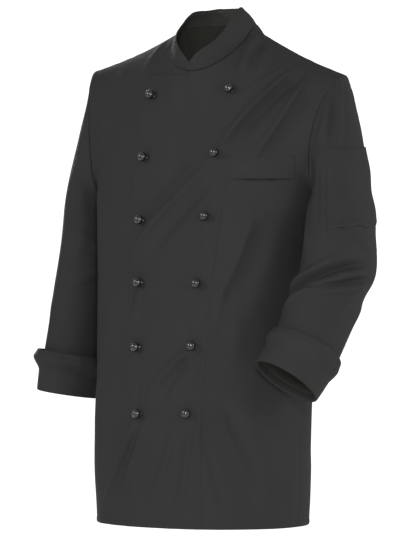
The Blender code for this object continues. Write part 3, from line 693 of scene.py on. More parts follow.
BUTTON_DIP = 0.0011         # how far a fastened button draws the cloth in,
BUTTON_DIP_REACH = 0.0090   # and over what radius
RAY_HEIGHT = 0.00035        # small gathers that run out from it
RAY_COUNT = 5
RAY_MIDDLE = 0.017
RAY_REACH = 0.010


def button_pull(x, z):
    """Each fastened button draws the cloth in and gathers it a little all round."""
    total = 0
    for _, at_x, at_z in button_places():
        away = np.hypot(x - at_x, z - at_z)
        total = total - BUTTON_DIP * np.exp(-(away / BUTTON_DIP_REACH) ** 2)
        turn = np.arctan2(z - at_z, x - at_x) * RAY_COUNT + at_z * 40
        total = total + RAY_HEIGHT * np.cos(turn) * np.exp(-((away - RAY_MIDDLE) / RAY_REACH) ** 2)
    return total


def front_shape(point):
    """Folds of the fronts, which both layers of the lap share."""
    x = point[..., 0]
    z = point[..., 2]
    slow = value_noise(x * 16 + 7, z * 9 + 3, 5) * SLOW_HEIGHT_FRONT
    small = value_noise(x * 55, z * 38, 6) * SMALL_HEIGHT
    return fold_field(x, z, FRONT_FOLDS) + button_pull(x, z) + slow + small


def back_shape(point):
    """Folds of the back."""
    x = point[..., 0]
    z = point[..., 2]
    slow = value_noise(x * 15 + 11, z * 8 + 5, 8) * SLOW_HEIGHT_BACK
    small = value_noise(x * 50, z * 34, 9) * SMALL_HEIGHT
    return fold_field(x, z, BACK_FOLDS) + slow + small


def run_from(grid, edge):
    """Distance along the cloth from one edge of a grid: first, last, left or right."""
    axis = 0 if edge in ("first", "last") else 1
    steps = np.linalg.norm(np.diff(grid, axis=axis), axis=-1)
    zero = np.zeros_like(np.take(steps, [0], axis=axis))
    run = np.concatenate([zero, np.cumsum(steps, axis=axis)], axis=axis)
    if edge in ("last", "right"):
        run = np.take(run, [-1], axis=axis) - run
    return run


def seam_sink(distance, along, seed):
    """A sewn edge turned in, with small puckers beside it."""
    sink = -SEAM_SINK * (1 - smoothstep(distance / SEAM_WIDTH))
    pucker = value_noise(along / SEAM_PUCKER_PITCH, distance / 0.020 + 5, seed)
    fade = np.exp(-distance / SEAM_PUCKER_PITCH) * smoothstep(distance / 0.002)
    return sink + SEAM_PUCKER * pucker * fade


def stitched_edge(distance, along, margin, seed, puff=TURNED_PUFF):
    """A turned and topstitched edge: puffed up to the stitches, which sit in a groove."""
    inside = np.clip(distance / margin, 0, 1)
    band = puff * np.sin(math.pi * inside) * (distance < margin)
    groove = -GROOVE_DEPTH * np.exp(-((distance - margin) / GROOVE_WIDTH) ** 2)
    pucker = value_noise(along / STITCH_PUCKER_PITCH, distance / 0.012 + 3, seed)
    near = np.exp(-((distance - margin) / 0.007) ** 2)
    return band + groove + STITCH_PUCKER * pucker * near


def hem_edge(distance, x, z, seed):
    """The stitched hem, which also waves slowly in and out."""
    wave = value_noise(x / 0.017, z / 0.06, seed + 1) * np.exp(-distance / 0.016)
    return stitched_edge(distance, x, HEM_STITCH, seed, puff=HEM_PUFF) + HEM_WAVE * wave


def grid_normals(grid, wrap=False):
    """Directions square to a grid of points."""
    if wrap:
        across = np.roll(grid, -1, axis=1) - np.roll(grid, 1, axis=1)
    else:
        across = np.gradient(grid, axis=1)
    along = np.gradient(grid, axis=0)
    return unit(np.cross(across, along))


def make_mesh(name, points, faces, uv, look, sharp=75):
    """A mesh object from points, faces and the cloth's own plan, where it has one; edges
    that turn by more than sharp degrees stay sharp."""
    mesh = bpy.data.meshes.new(name)
    mesh.from_pydata(points.tolist(), [], faces)
    shape = bmesh.new()
    shape.from_mesh(mesh)
    bmesh.ops.recalc_face_normals(shape, faces=shape.faces)
    shape.to_mesh(mesh)
    shape.free()
    if uv is not None:
        layer = mesh.uv_layers.new(name="cloth")
        corner = np.zeros(len(mesh.loops), dtype=np.int32)
        mesh.loops.foreach_get("vertex_index", corner)
        layer.uv.foreach_set("vector", uv[corner].astype(np.float32).ravel())
    mesh.shade_smooth()
    mesh.set_sharp_from_angle(angle=math.radians(sharp))
    mesh.materials.append(look)
    made = bpy.data.objects.new(name, mesh)
    bpy.context.scene.collection.objects.link(made)
    return made


def cloth_shell(name, outer, normals, look, wall=WALL, wrap=False, rolls=(0, 0, 0, 0),
                inside_look_painted_lighter=None):
    """A closed wall of cloth. rolls says how far the rim swells at the first row, the
    last row, the first column and the last column."""
    inner = outer - normals * wall
    rows, columns = outer.shape[:2]
    count = rows * columns
    index = np.arange(count).reshape(rows, columns)
    around = np.concatenate([index, index[:, :1]], axis=1) if wrap else index
    face = np.stack([around[:-1, :-1], around[:-1, 1:], around[1:, 1:], around[1:, :-1]], axis=-1)
    face = face.reshape(-1, 4)
    quads = [face, face[:, ::-1] + count]
    inside_faces = (len(face), 2 * len(face))
    inward = np.zeros((rows, columns, 2), dtype=int)
    swell = np.zeros((rows, columns))
    for axis, at, step, roll in ((0, 0, 1, rolls[0]), (0, rows - 1, -1, rolls[1]),
                                 (1, 0, 1, rolls[2]), (1, columns - 1, -1, rolls[3])):
        if wrap and axis == 1:
            continue
        edge = (at, slice(None)) if axis == 0 else (slice(None), at)
        inward[edge + (axis,)] = step
        swell[edge] = np.maximum(swell[edge], roll)
    if wrap:
        loops = [[(0, j) for j in range(columns)], [(rows - 1, j) for j in range(columns)]]
    else:
        loop = [(0, j) for j in range(columns)]
        loop += [(i, columns - 1) for i in range(1, rows)]
        loop += [(rows - 1, j) for j in range(columns - 2, -1, -1)]
        loop += [(i, 0) for i in range(rows - 2, 0, -1)]
        loops = [loop]
    extra = []
    extra_source = []
    for loop in loops:
        base = 2 * count + len(extra)
        for i, j in loop:
            back_i = i + inward[i, j, 0]
            back_j = j + inward[i, j, 1]
            away = unit(outer[i, j] - outer[back_i, back_j])
            extra.append((outer[i, j] + inner[i, j]) / 2 + away * swell[i, j])
            extra_source.append(index[i, j])
        ring = np.array([index[i, j] for i, j in loop])
        after = np.roll(ring, -1)
        rim = base + np.arange(len(loop))
        rim_after = np.roll(rim, -1)
        quads.append(np.stack([ring, after, rim_after, rim], axis=-1))
        quads.append(np.stack([rim, rim_after, after + count, ring + count], axis=-1))
    points = np.concatenate([outer.reshape(-1, 3), inner.reshape(-1, 3), np.array(extra)])
    across = run_from(outer, "left")
    up = run_from(outer, "first")
    plan = np.stack([across, up], axis=-1).reshape(-1, 2)
    uv = np.concatenate([plan, plan, plan[np.array(extra_source)]])
    made = make_mesh(name, points, np.concatenate(quads).tolist(), uv, look)
    # the inner faces take the inside finish, painted lighter than the outside to stand in for
    # light reaching inside
    if inside_look_painted_lighter is not None:
        made.data.materials.append(inside_look_painted_lighter)
        slots = np.zeros(len(made.data.polygons), dtype=np.int32)
        slots[inside_faces[0]:inside_faces[1]] = 1
        made.data.polygons.foreach_set("material_index", slots)
    return made


def spaced(first, last, step, close_first=0.0, close_last=0.0, close_step=0.0012):
    """Values from first to last, closer together over a stretch at either end."""
    marks = [first]
    while marks[-1] < last - 1e-9:
        at = marks[-1]
        near = at - first < close_first or last - at < close_last
        marks.append(min(at + (close_step if near else step), last))
    if marks[-1] - marks[-2] < 0.3 * close_step:
        marks.pop(-2)
    return np.array(marks)


def fine_levels():
    """Levels at which rows stand, closer together at the hem and at the top."""
    low = spaced(0, BELOW_LENGTH, 0.0030, close_first=0.012)
    high = spaced(0, ABOVE_LENGTH, 0.0027, close_last=0.006)
    return np.concatenate([low / BELOW_LENGTH, 1 + high[1:] / ABOVE_LENGTH])


def edge_share(side, level):
    """w of the free front edge at each level; side is -1 for the left front's edge."""
    z = np.linspace(HEM_Z, FLAP_TOP_Z, 60)
    w, v = locate(side * front_edge_x(z)[:, 0], z)
    return np.interp(level, v, w)


def half_shares(neck_share, neck_step, step, **closer):
    """Shares of the half width at which columns stand, from the centre to the side."""
    neck_length = neck_share * HALF_WIDTH
    neck = spaced(0, neck_length, neck_step)
    beyond = spaced(0, HALF_WIDTH - neck_length, step, close_last=0.006, **closer)
    shares = np.concatenate([neck, neck_length + beyond[1:]]) / HALF_WIDTH
    shares[-1] -= SEAM_GAP / 2 / HALF_WIDTH
    return shares


def front_grid(side, surface):
    """Fine points of one front, from its free edge across the centre to its side seam."""
    levels = fine_levels()
    columns = []
    fine = np.linspace(1, 2, 400)
    for share in 1 - spaced(0, FLAP_LENGTH, 0.0026, close_first=0.011)[:-1] / FLAP_LENGTH:
        heights = surface(share * edge_share(-side, fine), fine)[:, 2]
        top = np.interp(FLAP_TOP_Z, heights, fine)
        reach = np.minimum(levels, 1) + np.maximum(levels - 1, 0) * (top - 1)
        columns.append(surface(share * edge_share(-side, reach), reach))
    for share in half_shares(NECK_SHARE_FRONT, 0.0022, 0.0030, close_first=0.020,
                             close_step=0.0015):
        columns.append(surface(np.full_like(levels, side * share), levels))
    return np.stack(columns, axis=1)


def panel_edges(grid):
    """Distance along the cloth from each edge of a grid."""
    return {edge: run_from(grid, edge) for edge in ("first", "last", "left", "right")}


STITCH_ROWS = {}


def add_stitches(piece, points, outs):
    """Keep a row of topstitching, given as points on a piece and their outward sides."""
    STITCH_ROWS.setdefault(piece, []).append((np.array(points), np.array(outs)))


def interpolate(at, run, values):
    """Points or directions at places along a run, from those at its marks."""
    return np.stack([np.interp(at, run, values[:, k]) for k in range(3)], axis=-1)


def line_at(grid, normals, edge, distance, start=0.0, stop=1.0):
    """Points and directions on a grid at a distance from one of its edges."""
    run = run_from(grid, edge)
    if edge in ("first", "last"):
        grid = np.swapaxes(grid, 0, 1)
        normals = np.swapaxes(normals, 0, 1)
        run = run.T
    if edge in ("last", "right"):
        grid = grid[:, ::-1]
        normals = normals[:, ::-1]
        run = run[:, ::-1]
    points = []
    outs = []
    first = int(start * (len(grid) - 1))
    last = int(stop * (len(grid) - 1))
    for i in range(first, last + 1):
        points.append(interpolate(distance, run[i], grid[i]))
        outs.append(interpolate(distance, run[i], normals[i]))
    return np.array(points), np.array(outs)


CLEAR_OF_SIDE = 0.020   # folds fade out over this run before a side seam
CLEAR_OF_TOP = 0.012
FLAP_BLEND = 0.012      # width over which the neck seam becomes the flap's turned edge
GAPE_HEIGHT = 0.0011    # the free edge stands a little open between two buttons
GAPE_HALF_LENGTH = 0.026
GAPE_WIDTH = 0.012


def make_front(name, side, surface, look, inside_look_painted_lighter):
    """One whole front, from its free edge across the centre to its side seam."""
    grid = front_grid(side, surface)
    normals = grid_normals(grid) * side
    run = panel_edges(grid)
    x = grid[..., 0]
    z = grid[..., 2]
    height = front_shape(grid)
    on_flap = x * side < 0
    below_top = np.where(on_flap, 1, smoothstep(run["last"] / CLEAR_OF_TOP))
    height = height * smoothstep(run["right"] / CLEAR_OF_SIDE) * below_top
    seam = seam_sink(run["right"], z, 21)
    neck_or_shoulder = seam_sink(run["last"], x, 22)
    flap_top = stitched_edge(run["last"], x, EDGE_STITCH, 23)
    blend_in = smoothstep((x * side + 0.004) / FLAP_BLEND)
    height = height + seam + neck_or_shoulder * blend_in + flap_top * (1 - blend_in)
    height = height + stitched_edge(run["left"], z, EDGE_STITCH, 24)
    height = height + hem_edge(run["first"], x, z, 25)
    if side > 0:
        gape = 0
        for row, (_, _, _, right_z) in enumerate(BUTTON_ROWS[:-1]):
            middle = (right_z + BUTTON_ROWS[row + 1][3]) / 2
            gape = gape + np.exp(-((z - middle) / GAPE_HALF_LENGTH) ** 2)
        height = height + GAPE_HEIGHT * gape * np.exp(-run["left"] / GAPE_WIDTH)
        height = height + under_edge_mark(x, z) + pocket_mouth(x, z)
    shaped = grid + normals * height[..., None]
    made = cloth_shell(name, shaped, normals, look, inside_look_painted_lighter=inside_look_painted_lighter,
                       rolls=(TURNED_ROLL, SEWN_ROLL, TURNED_ROLL, SEWN_ROLL))
    facing = grid_normals(shaped) * side
    add_stitches(name, *line_at(shaped, facing, "left", EDGE_STITCH))
    add_stitches(name, *line_at(shaped, facing, "first", HEM_STITCH, 0.01, 0.995))
    flap_columns = np.count_nonzero(np.all(on_flap, axis=0))
    flap = shaped[:, :flap_columns]
    add_stitches(name, *line_at(flap, facing[:, :flap_columns], "last", EDGE_STITCH, 0.09, 1))
    return made


PRESSED_RIDGE = 0.0008  # the covered edge, as it shows through,
PRESSED_GROOVE = 0.0005  # and its stitches
PRESSED_TOP_Z = -0.195


def under_edge_mark(x, z):
    """The covered edge of the right front and its stitches press through as soft lines."""
    from_edge = front_edge_x(z)[..., 0] - x
    ridge = PRESSED_RIDGE * np.exp(-((from_edge - 0.001) / 0.0018) ** 2)
    groove = -PRESSED_GROOVE * np.exp(-((from_edge - EDGE_STITCH) / 0.0013) ** 2)
    return (ridge + groove) * smoothstep((PRESSED_TOP_Z - z) / 0.040)


SLIT_END_DEPTH = 0.0012     # how far the cloth sinks at the ends of the pocket's mouth,
SLIT_EXTRA_DEPTH = 0.0022   # and how much further in its middle
SLIT_WIDTH = 0.0022
LIP_HEIGHT = 0.0010


def pocket_mouth(x, z):
    """The breast pocket's mouth: the cloth sinks under the welt and its lip stands up."""
    inside = smoothstep((x - WELT_INNER_X) / 0.006) * smoothstep((WELT_OUTER_X - x) / 0.006)
    middle = smoothstep((x - WELT_INNER_X) / 0.040) * smoothstep((WELT_OUTER_X - x) / 0.030)
    below = z - WELT_MOUTH_Z
    depth = SLIT_END_DEPTH + SLIT_EXTRA_DEPTH * middle
    slit = -depth * np.exp(-((below + 0.0004) / SLIT_WIDTH) ** 2)
    lip = LIP_HEIGHT * np.exp(-((below + 0.0052) / SLIT_WIDTH) ** 2)
    return (slit + lip) * inside


def make_back(look, inside_look_painted_lighter):
    """The back, in one piece from side seam to side seam."""
    levels = fine_levels()
    shares = half_shares(NECK_SHARE_BACK, 0.0030, 0.0036)
    across = np.concatenate([-shares[:0:-1], shares])
    w, v = np.meshgrid(across, levels)
    grid = body_surface(w, v, back=True)
    on_shoulder = np.abs(across) > NECK_SHARE_BACK - 1e-6
    grid[-1, on_shoulder, 1] += SEAM_GAP
    normals = -grid_normals(grid)
    run = panel_edges(grid)
    x = grid[..., 0]
    z = grid[..., 2]
    keep = smoothstep(run["right"] / CLEAR_OF_SIDE) * smoothstep(run["left"] / CLEAR_OF_SIDE)
    height = back_shape(grid) * keep * smoothstep(run["last"] / 0.014)
    height = height + seam_sink(run["right"], z, 41) + seam_sink(run["left"], z, 42)
    height = height + seam_sink(run["last"], x, 43)
    height = height + hem_edge(run["first"], x, z, 44)
    shaped = grid + normals * height[..., None]
    made = cloth_shell("back_panel", shaped, normals, look, inside_look_painted_lighter=inside_look_painted_lighter,
                       rolls=(TURNED_ROLL, SEWN_ROLL, SEWN_ROLL, SEWN_ROLL))
    facing = -grid_normals(shaped)
    add_stitches("back_panel", *line_at(shaped, facing, "first", HEM_STITCH, 0.005, 0.995))
    return made


COLLAR_WALL = 0.0021
COLLAR_STITCH = 0.0060
COLLAR_DEPTH = 0.040    # turns shares of its depth into metres when rows are spaced
COLLAR_BULGE = 0.0016   # how far its middle stands out
COLLAR_TURN = 1.5       # degrees between its columns


def make_collar(look, facing_look_painted_lighter):
    """A stiff band round the neck; its left end laps over the right one."""
    left_end = spaced(-COLLAR_LAP / 2, 20, COLLAR_TURN, close_first=6, close_step=0.8)
    right_end = spaced(341, 360 + COLLAR_LAP / 2, COLLAR_TURN, close_last=6, close_step=0.8)
    turn = np.concatenate([left_end, np.arange(21.5, 340, COLLAR_TURN), right_end])
    on_right = (turn > 180) & (turn < 360) | (turn < 0)
    around = np.where(turn > 180, np.abs(360 - turn), np.abs(turn))
    right_share = smoothstep((turn - 172) / 16) * smoothstep((366 - turn) / 12)
    right_share = np.where(turn < 4, smoothstep((4 - turn) / 8), right_share)
    base, top = neck_points(around, np.zeros_like(on_right))
    drop = right_neck_drop(around) * right_share[:, None]
    base[:, 2] -= drop[:, 0]
    top[:, 2] -= drop[:, 1]
    mirror = np.where(on_right, -1, 1)
    base[:, 0] *= mirror
    top[:, 0] *= mirror
    rise = unit(top - base)
    front_share = np.clip(turn / 90, 0, 1) * NECK_SHARE_FRONT
    lift = over_surface(front_share, 2.0) - body_surface(front_share, 2.0)
    lift = lift * np.where(on_right & (turn > 0), 0, 1)[:, None]
    depths = spaced(0, COLLAR_DEPTH, 0.0016, close_first=0.004, close_last=0.004,
                    close_step=0.0009)
    outwards = unit(np.stack([base[:, 0], base[:, 1], 0 * turn], axis=-1))
    rows = []
    for share in depths / COLLAR_DEPTH:
        bulge_out = COLLAR_BULGE * math.sin(math.pi * share)
        rows.append(base + (top - base) * share + rise * 2 * SEAM_GAP * (1 - share) + lift
                    + bulge_out * outwards)
    grid = np.array(rows)
    normals = grid_normals(grid)
    run = panel_edges(grid)
    turns = np.broadcast_to(turn, grid.shape[:2])
    height = 0
    for edge, along, seed in (("last", turns * 0.001, 51), ("left", run["first"], 52),
                              ("right", run["first"], 53)):
        height = height + stitched_edge(run[edge], along, COLLAR_STITCH, seed, puff=0.0003)
    height = height + 0.5 * seam_sink(run["first"], turns * 0.001, 54)
    height = height + 0.0008 * value_noise(turns / 16, run["first"] / 0.025, 55)
    height = height + 0.0004 * value_noise(turns / 6, run["first"] / 0.008, 56)
    shaped = grid + normals * height[..., None]
    # its inner face takes the facing finish, painted lighter to stand in for light inside the
    # collar
    made = cloth_shell("collar_band", shaped, normals, look, wall=COLLAR_WALL,
                       rolls=(SEWN_ROLL, COLLAR_ROLL, COLLAR_ROLL, COLLAR_ROLL),
                       inside_look_painted_lighter=facing_look_painted_lighter)
    facing = grid_normals(shaped)
    for edge in ("last", "left", "right"):
        add_stitches("collar_band", *line_at(shaped, facing, edge, COLLAR_STITCH, 0.015, 0.985))
    return made


SLEEVE_AROUND = 132     # columns round a sleeve,
CUFF_AROUND = 132       # and round a cuff
EASE_HEIGHT = 0.0006    # fullness and its small gathers below the armhole seam


def place_sleeve(points, side):
    """Turn outward coordinates into the jacket's own."""
    return points * np.array([side, 1, 1])


def sleeve_rows(sleeve):
    """Rows down the sleeve: shares of the head, then metres below it."""
    head = spaced(0, HEAD_LENGTH, 0.0026, close_first=0.006)[:-1] / HEAD_LENGTH
    end = sleeve.length - CUFF_RETURN - SEAM_GAP
    return np.concatenate([head, 1 + spaced(0, end, 0.0026)])


def sleeve_shape(sleeve, angle, down):
    """Folded outer surface of a sleeve in outward coordinates, with its bare form."""
    bare = sleeve.surface(angle, down)
    normals = grid_normals(bare, wrap=True)
    height = sleeve.fold_height(angle, bare)
    run = run_from(bare, "first")
    height = height * smoothstep(run / 0.016) * smoothstep(run_from(bare, "last") / 0.030)
    ease = value_noise(angle * 9, run / 0.030, 61) * np.exp(-((run - 0.008) / 0.010) ** 2)
    height = height + EASE_HEIGHT * ease + EASE_HEIGHT * np.exp(-((run - 0.005) / 0.0035) ** 2)
    height = height + seam_sink(run, angle * SLEEVE_GIRTH_RUN, 62)
    return bare, normals, height


def make_sleeve(name, sleeve, look, inside_look_painted_lighter):
    """A set-in sleeve, as a tube from the armhole seam to the end inside the cuff."""
    angle = np.arange(SLEEVE_AROUND) * 2 * math.pi / SLEEVE_AROUND
    angle, down = np.meshgrid(angle, sleeve_rows(sleeve))
    bare, normals, height = sleeve_shape(sleeve, angle, down)
    shaped = place_sleeve(bare + normals * height[..., None], sleeve.side)
    normals = place_sleeve(normals, sleeve.side)
    return cloth_shell(name, shaped, normals, look, wrap=True, inside_look_painted_lighter=inside_look_painted_lighter,
                       rolls=(SEWN_ROLL, POCKET_ROLL, 0, 0))


def cuff_outline(flare):
    """Closed outline of a turned-back cuff: distance up from the rim and distance out."""
    inner = CUFF_STAND
    outer = CUFF_STAND + WALL
    middle = (outer - WALL) / 2
    roll = (outer + WALL) / 2
    points = [(up, -WALL) for up in np.linspace(CUFF_RETURN, 0.0030, 6)]
    for turn in np.radians(np.arange(-80, 81, 20)):
        points.append((0.0022 - roll * 1.1 * math.cos(turn), middle + roll * math.sin(turn)))

    def lean(up):
        puff = smoothstep((up - 0.032) / 0.022) - 0.5 * smoothstep((up - 0.054) / 0.012)
        return flare * float(puff)

    for up in np.concatenate([np.arange(0.0030, CUFF_DEPTH - 0.001, 0.0016), [CUFF_DEPTH]]):
        points.append((up, outer + lean(up)))
    points.append((CUFF_DEPTH + 0.0006, (outer + inner) / 2 + lean(CUFF_DEPTH)))
    for up in np.linspace(CUFF_DEPTH, 0.0040, 24):
        points.append((up, inner + lean(up)))
    for turn in np.radians(np.arange(60, -61, 40)):
        points.append((0.0034 - inner / 2 * math.cos(turn), inner / 2 * (1 + math.sin(turn))))
    points.append((CUFF_RETURN, 0.0))
    return points


CUFF_STITCH = 0.0060
CUFF_INNER_REACH = 0.0004   # the cuff's inner layers may come this close to the sleeve


def make_cuff(name, sleeve, look):
    """A turned-back cuff, as a closed band drawn round its outline."""
    angle = np.arange(CUFF_AROUND) * 2 * math.pi / CUFF_AROUND
    rings = []
    outs = []
    seed = 71 if sleeve.side > 0 else 72
    outline = np.array(cuff_outline(sleeve.flare))
    outside = outline[:, 1] > CUFF_STAND + WALL - 0.0002
    for (up, out), on_outside in zip(outline, outside):
        turned = smoothstep((out + 0.0002) / 0.0020)
        rise = np.clip(up / CUFF_DEPTH, 0, 1)
        wave = value_noise(angle * 1.9, 0 * angle + up / 0.05, seed)
        wave = wave + 0.5 * value_noise(angle * 5.1, 0 * angle + up / 0.03, seed + 5)
        swell = turned * rise * sleeve.cuff_swell * (wave + 0.5)
        if on_outside:
            swell = swell + stitched_edge(CUFF_DEPTH - up, angle * SLEEVE_GIRTH_RUN, CUFF_STITCH,
                                          seed + 9)
        level = np.full_like(angle, sleeve.length - up)
        rings.append(sleeve.ring(angle, level, out + np.maximum(swell, -CUFF_INNER_REACH)))
        outs.append(rings[-1] - sleeve.ring(angle, level, out - 0.01))
    points = place_sleeve(np.array(rings), sleeve.side)
    rows = len(points)
    index = np.arange(rows * CUFF_AROUND).reshape(rows, CUFF_AROUND)
    right = np.roll(index, -1, axis=1)
    quads = np.stack([index, right, np.roll(right, -1, axis=0), np.roll(index, -1, axis=0)],
                     axis=-1).reshape(-1, 4)
    plan = np.stack(np.broadcast_arrays(angle[None, :] * 0.056, outline[:, :1]), axis=-1)
    made = make_mesh(name, points.reshape(-1, 3), quads.tolist(), plan.reshape(-1, 2), look)
    nearest = int(np.argmin(np.abs(outline[:, 0] - (CUFF_DEPTH - CUFF_STITCH)) + 9 * ~outside))
    ring = points[nearest]
    side_out = place_sleeve(unit(np.array(outs[nearest])), sleeve.side)
    closed = np.concatenate([ring, ring[:1]])
    add_stitches(name, closed, np.concatenate([side_out, side_out[:1]]))
    return made


WELT_WALL = 0.0009
WELT_AIR = 0.0003
WELT_STITCH = 0.0022    # topstitching near its edges
WELT_MOUTH_STITCH = 0.0050
WELT_GAPE = 0.0016      # how far its lower edge stands open,
WELT_GAPE_X = 0.150     # where it does most,
WELT_GAPE_HALF = 0.026  # and over what half width
SEWN_STAND = 0.0003     # how far it stands off the cloth along its sewn edges


def make_welt(look):
    """Stitched band over the breast pocket's mouth; its lower edge stands a little open."""
    x = spaced(WELT_INNER_X, WELT_OUTER_X, 0.0020, close_first=0.003, close_last=0.003,
               close_step=0.0010)
    z = spaced(WELT_MOUTH_Z, WELT_TOP_Z, 0.0016, close_first=0.005, close_last=0.003,
               close_step=0.0009)
    x, z = np.meshgrid(x, z)
    w, v = locate(x, z, over_surface)
    under = over_surface(w, v)
    out = surface_normal(over_surface, w, v)
    height = front_shape(under) * smoothstep((1 - np.abs(w)) * HALF_WIDTH / 0.020)
    up = z - WELT_MOUTH_Z
    open_share = np.exp(-((x - WELT_GAPE_X) / WELT_GAPE_HALF) ** 2)
    height = height + WELT_GAPE * open_share * np.exp(-up / 0.006)
    height = height + stitched_edge(WELT_TOP_Z - z, x, WELT_STITCH, 81, puff=0.0002)
    height = height + stitched_edge(up, x, WELT_MOUTH_STITCH, 82, puff=0.0003)
    sewn = np.minimum(WELT_TOP_Z - z, np.minimum(x - WELT_INNER_X, WELT_OUTER_X - x))
    stand = SEWN_STAND + (WELT_WALL + WELT_AIR - SEWN_STAND) * smoothstep(sewn / 0.010)
    shaped = under + out * (height + stand)[..., None]
    made = cloth_shell("breast_pocket_band", shaped, out, look, wall=WELT_WALL,
                       rolls=(PATCH_ROLL, POCKET_ROLL, POCKET_ROLL, POCKET_ROLL))
    facing = grid_normals(shaped)
    for edge in ("last", "left", "right"):
        add_stitches("breast_pocket_band", *line_at(shaped, facing, edge, WELT_STITCH))
    return made


PATCH_BACK_ANGLE = -60  # degrees round the sleeve of its two sides
PATCH_FRONT_ANGLE = 71
PATCH_WALL = 0.0008
PATCH_STITCH = 0.0024   # topstitching near its sewn edges,
PATCH_HEM = 0.0180      # and below its mouth
PATCH_FULLNESS = 0.0014  # it stands off the sleeve in its middle
PATCH_MOUTH = 0.0010    # and at its mouth
FOOT_SWELL = 0.0030     # its gathered foot,
FOOT_GATHER = 0.0028    # unevenly
FOOT_REACH = 0.0036


def make_sleeve_pocket(sleeve, look):
    """Patch pocket on the outside of the left upper arm; its foot is gathered."""
    rows = sleeve_rows(sleeve)
    angle = np.radians(spaced(PATCH_BACK_ANGLE, PATCH_FRONT_ANGLE, 2.2, close_first=4,
                              close_last=4, close_step=1.1))
    full = np.arange(SLEEVE_AROUND) * 2 * math.pi / SLEEVE_AROUND - math.pi
    turn, down = np.meshgrid(full, rows)
    bare, normals, height = sleeve_shape(sleeve, turn, down)
    skin = bare + normals * height[..., None]
    levels = spaced(0, PATCH_TOP_Z - PATCH_FOOT_Z, 0.0024, close_first=0.004, close_last=0.008,
                    close_step=0.0012)
    columns = []
    out_columns = []
    for at in angle:
        uneven = 0.965 + 0.030 * value_noise(at * 3.1, 0.5, 97)
        heights = PATCH_TOP_Z - levels * uneven
        share = (at + math.pi) / (2 * math.pi) * SLEEVE_AROUND
        low = int(share)
        high = (low + 1) % SLEEVE_AROUND
        part = share - low
        column = skin[:, low] * (1 - part) + skin[:, high] * part
        out = normals[:, low] * (1 - part) + normals[:, high] * part
        columns.append(interpolate(-heights, -column[:, 2], column))
        out_columns.append(interpolate(-heights, -column[:, 2], out))
    grid = np.array(columns).swapaxes(0, 1)
    out = unit(np.array(out_columns).swapaxes(0, 1))
    run = panel_edges(grid)
    angles = np.broadcast_to(angle * SLEEVE_GIRTH_RUN, grid.shape[:2])
    lift = 0
    for edge, along, margin, seed in (("left", run["first"], PATCH_STITCH, 91),
                                      ("right", run["first"], PATCH_STITCH, 92),
                                      ("last", angles, PATCH_STITCH, 93),
                                      ("first", angles, PATCH_HEM, 94)):
        lift = lift + stitched_edge(run[edge], along, margin, seed, puff=0.0002)
    gather = value_noise(angles / 0.0085, run["last"] / 0.012, 95)
    level_foot = 0.006 + 0.004 * value_noise(angles / 0.020, 0 * angles, 96)
    near_foot = np.exp(-((run["last"] - level_foot) / FOOT_REACH) ** 2)
    in_front = smoothstep(angle + 0.75)
    lift = lift + near_foot * (FOOT_SWELL + FOOT_GATHER * gather) * (0.15 + 0.85 * in_front)
    lift = lift + PATCH_MOUTH * np.exp(-run["first"] / 0.006)
    inner_room = smoothstep(run["left"] / 0.02) * smoothstep(run["right"] / 0.02)
    lift = lift + PATCH_FULLNESS * inner_room * np.exp(-((run["first"] - 0.06) / 0.05) ** 2)
    sewn = np.minimum(np.minimum(run["left"], run["right"]), run["last"])
    stand = 0.0006 + (PATCH_WALL - 0.0004) * smoothstep(sewn / 0.005)
    shaped = grid + out * (np.maximum(lift, 0) + stand)[..., None]
    made = cloth_shell("sleeve_patch", shaped, out, look, wall=PATCH_WALL,
                       rolls=(PATCH_ROLL,) * 4)
    facing = -grid_normals(shaped)
    for edge in ("left", "right", "last"):
        add_stitches("sleeve_patch", *line_at(shaped, facing, edge, PATCH_STITCH))
    add_stitches("sleeve_patch", *line_at(shaped, facing, "first", PATCH_HEM))
    return made


BUTTON_AROUND = 28
BUTTON_GROOVE = 0.07    # depth of the ring turned round its face, as a share of the radius
GROOVE_ANGLE = 40       # and where it is, in degrees up from the ball's widest part
GROOVE_SPREAD = 5
BALL_SINK = 0.86        # height of its centre over the shank, as a share of the radius
BALL_FLATNESS = 0.94
BALL_ANGLES = (-62, -48, -32, -16, -3, 3, 18, 31, 37, 40, 44, 48, 56, 66, 76, 84)


def button_profile():
    """Radius and height of a ball stud from the cloth outwards."""
    centre = SHANK_LENGTH + BALL_RADIUS * BALL_SINK
    rows = [(0.0040, -0.0002), (0.0042, 0.0003), (0.0034, 0.0008),
            (SHANK_RADIUS, SHANK_LENGTH * 0.9)]
    for degrees in BALL_ANGLES:
        angle = math.radians(degrees)
        ring = 1 - BUTTON_GROOVE * math.exp(-((degrees - GROOVE_ANGLE) / GROOVE_SPREAD) ** 2)
        rows.append((BALL_RADIUS * ring * math.cos(angle),
                     centre + BALL_RADIUS * ring * BALL_FLATNESS * math.sin(angle)))
    return rows, centre + BALL_RADIUS * BALL_FLATNESS


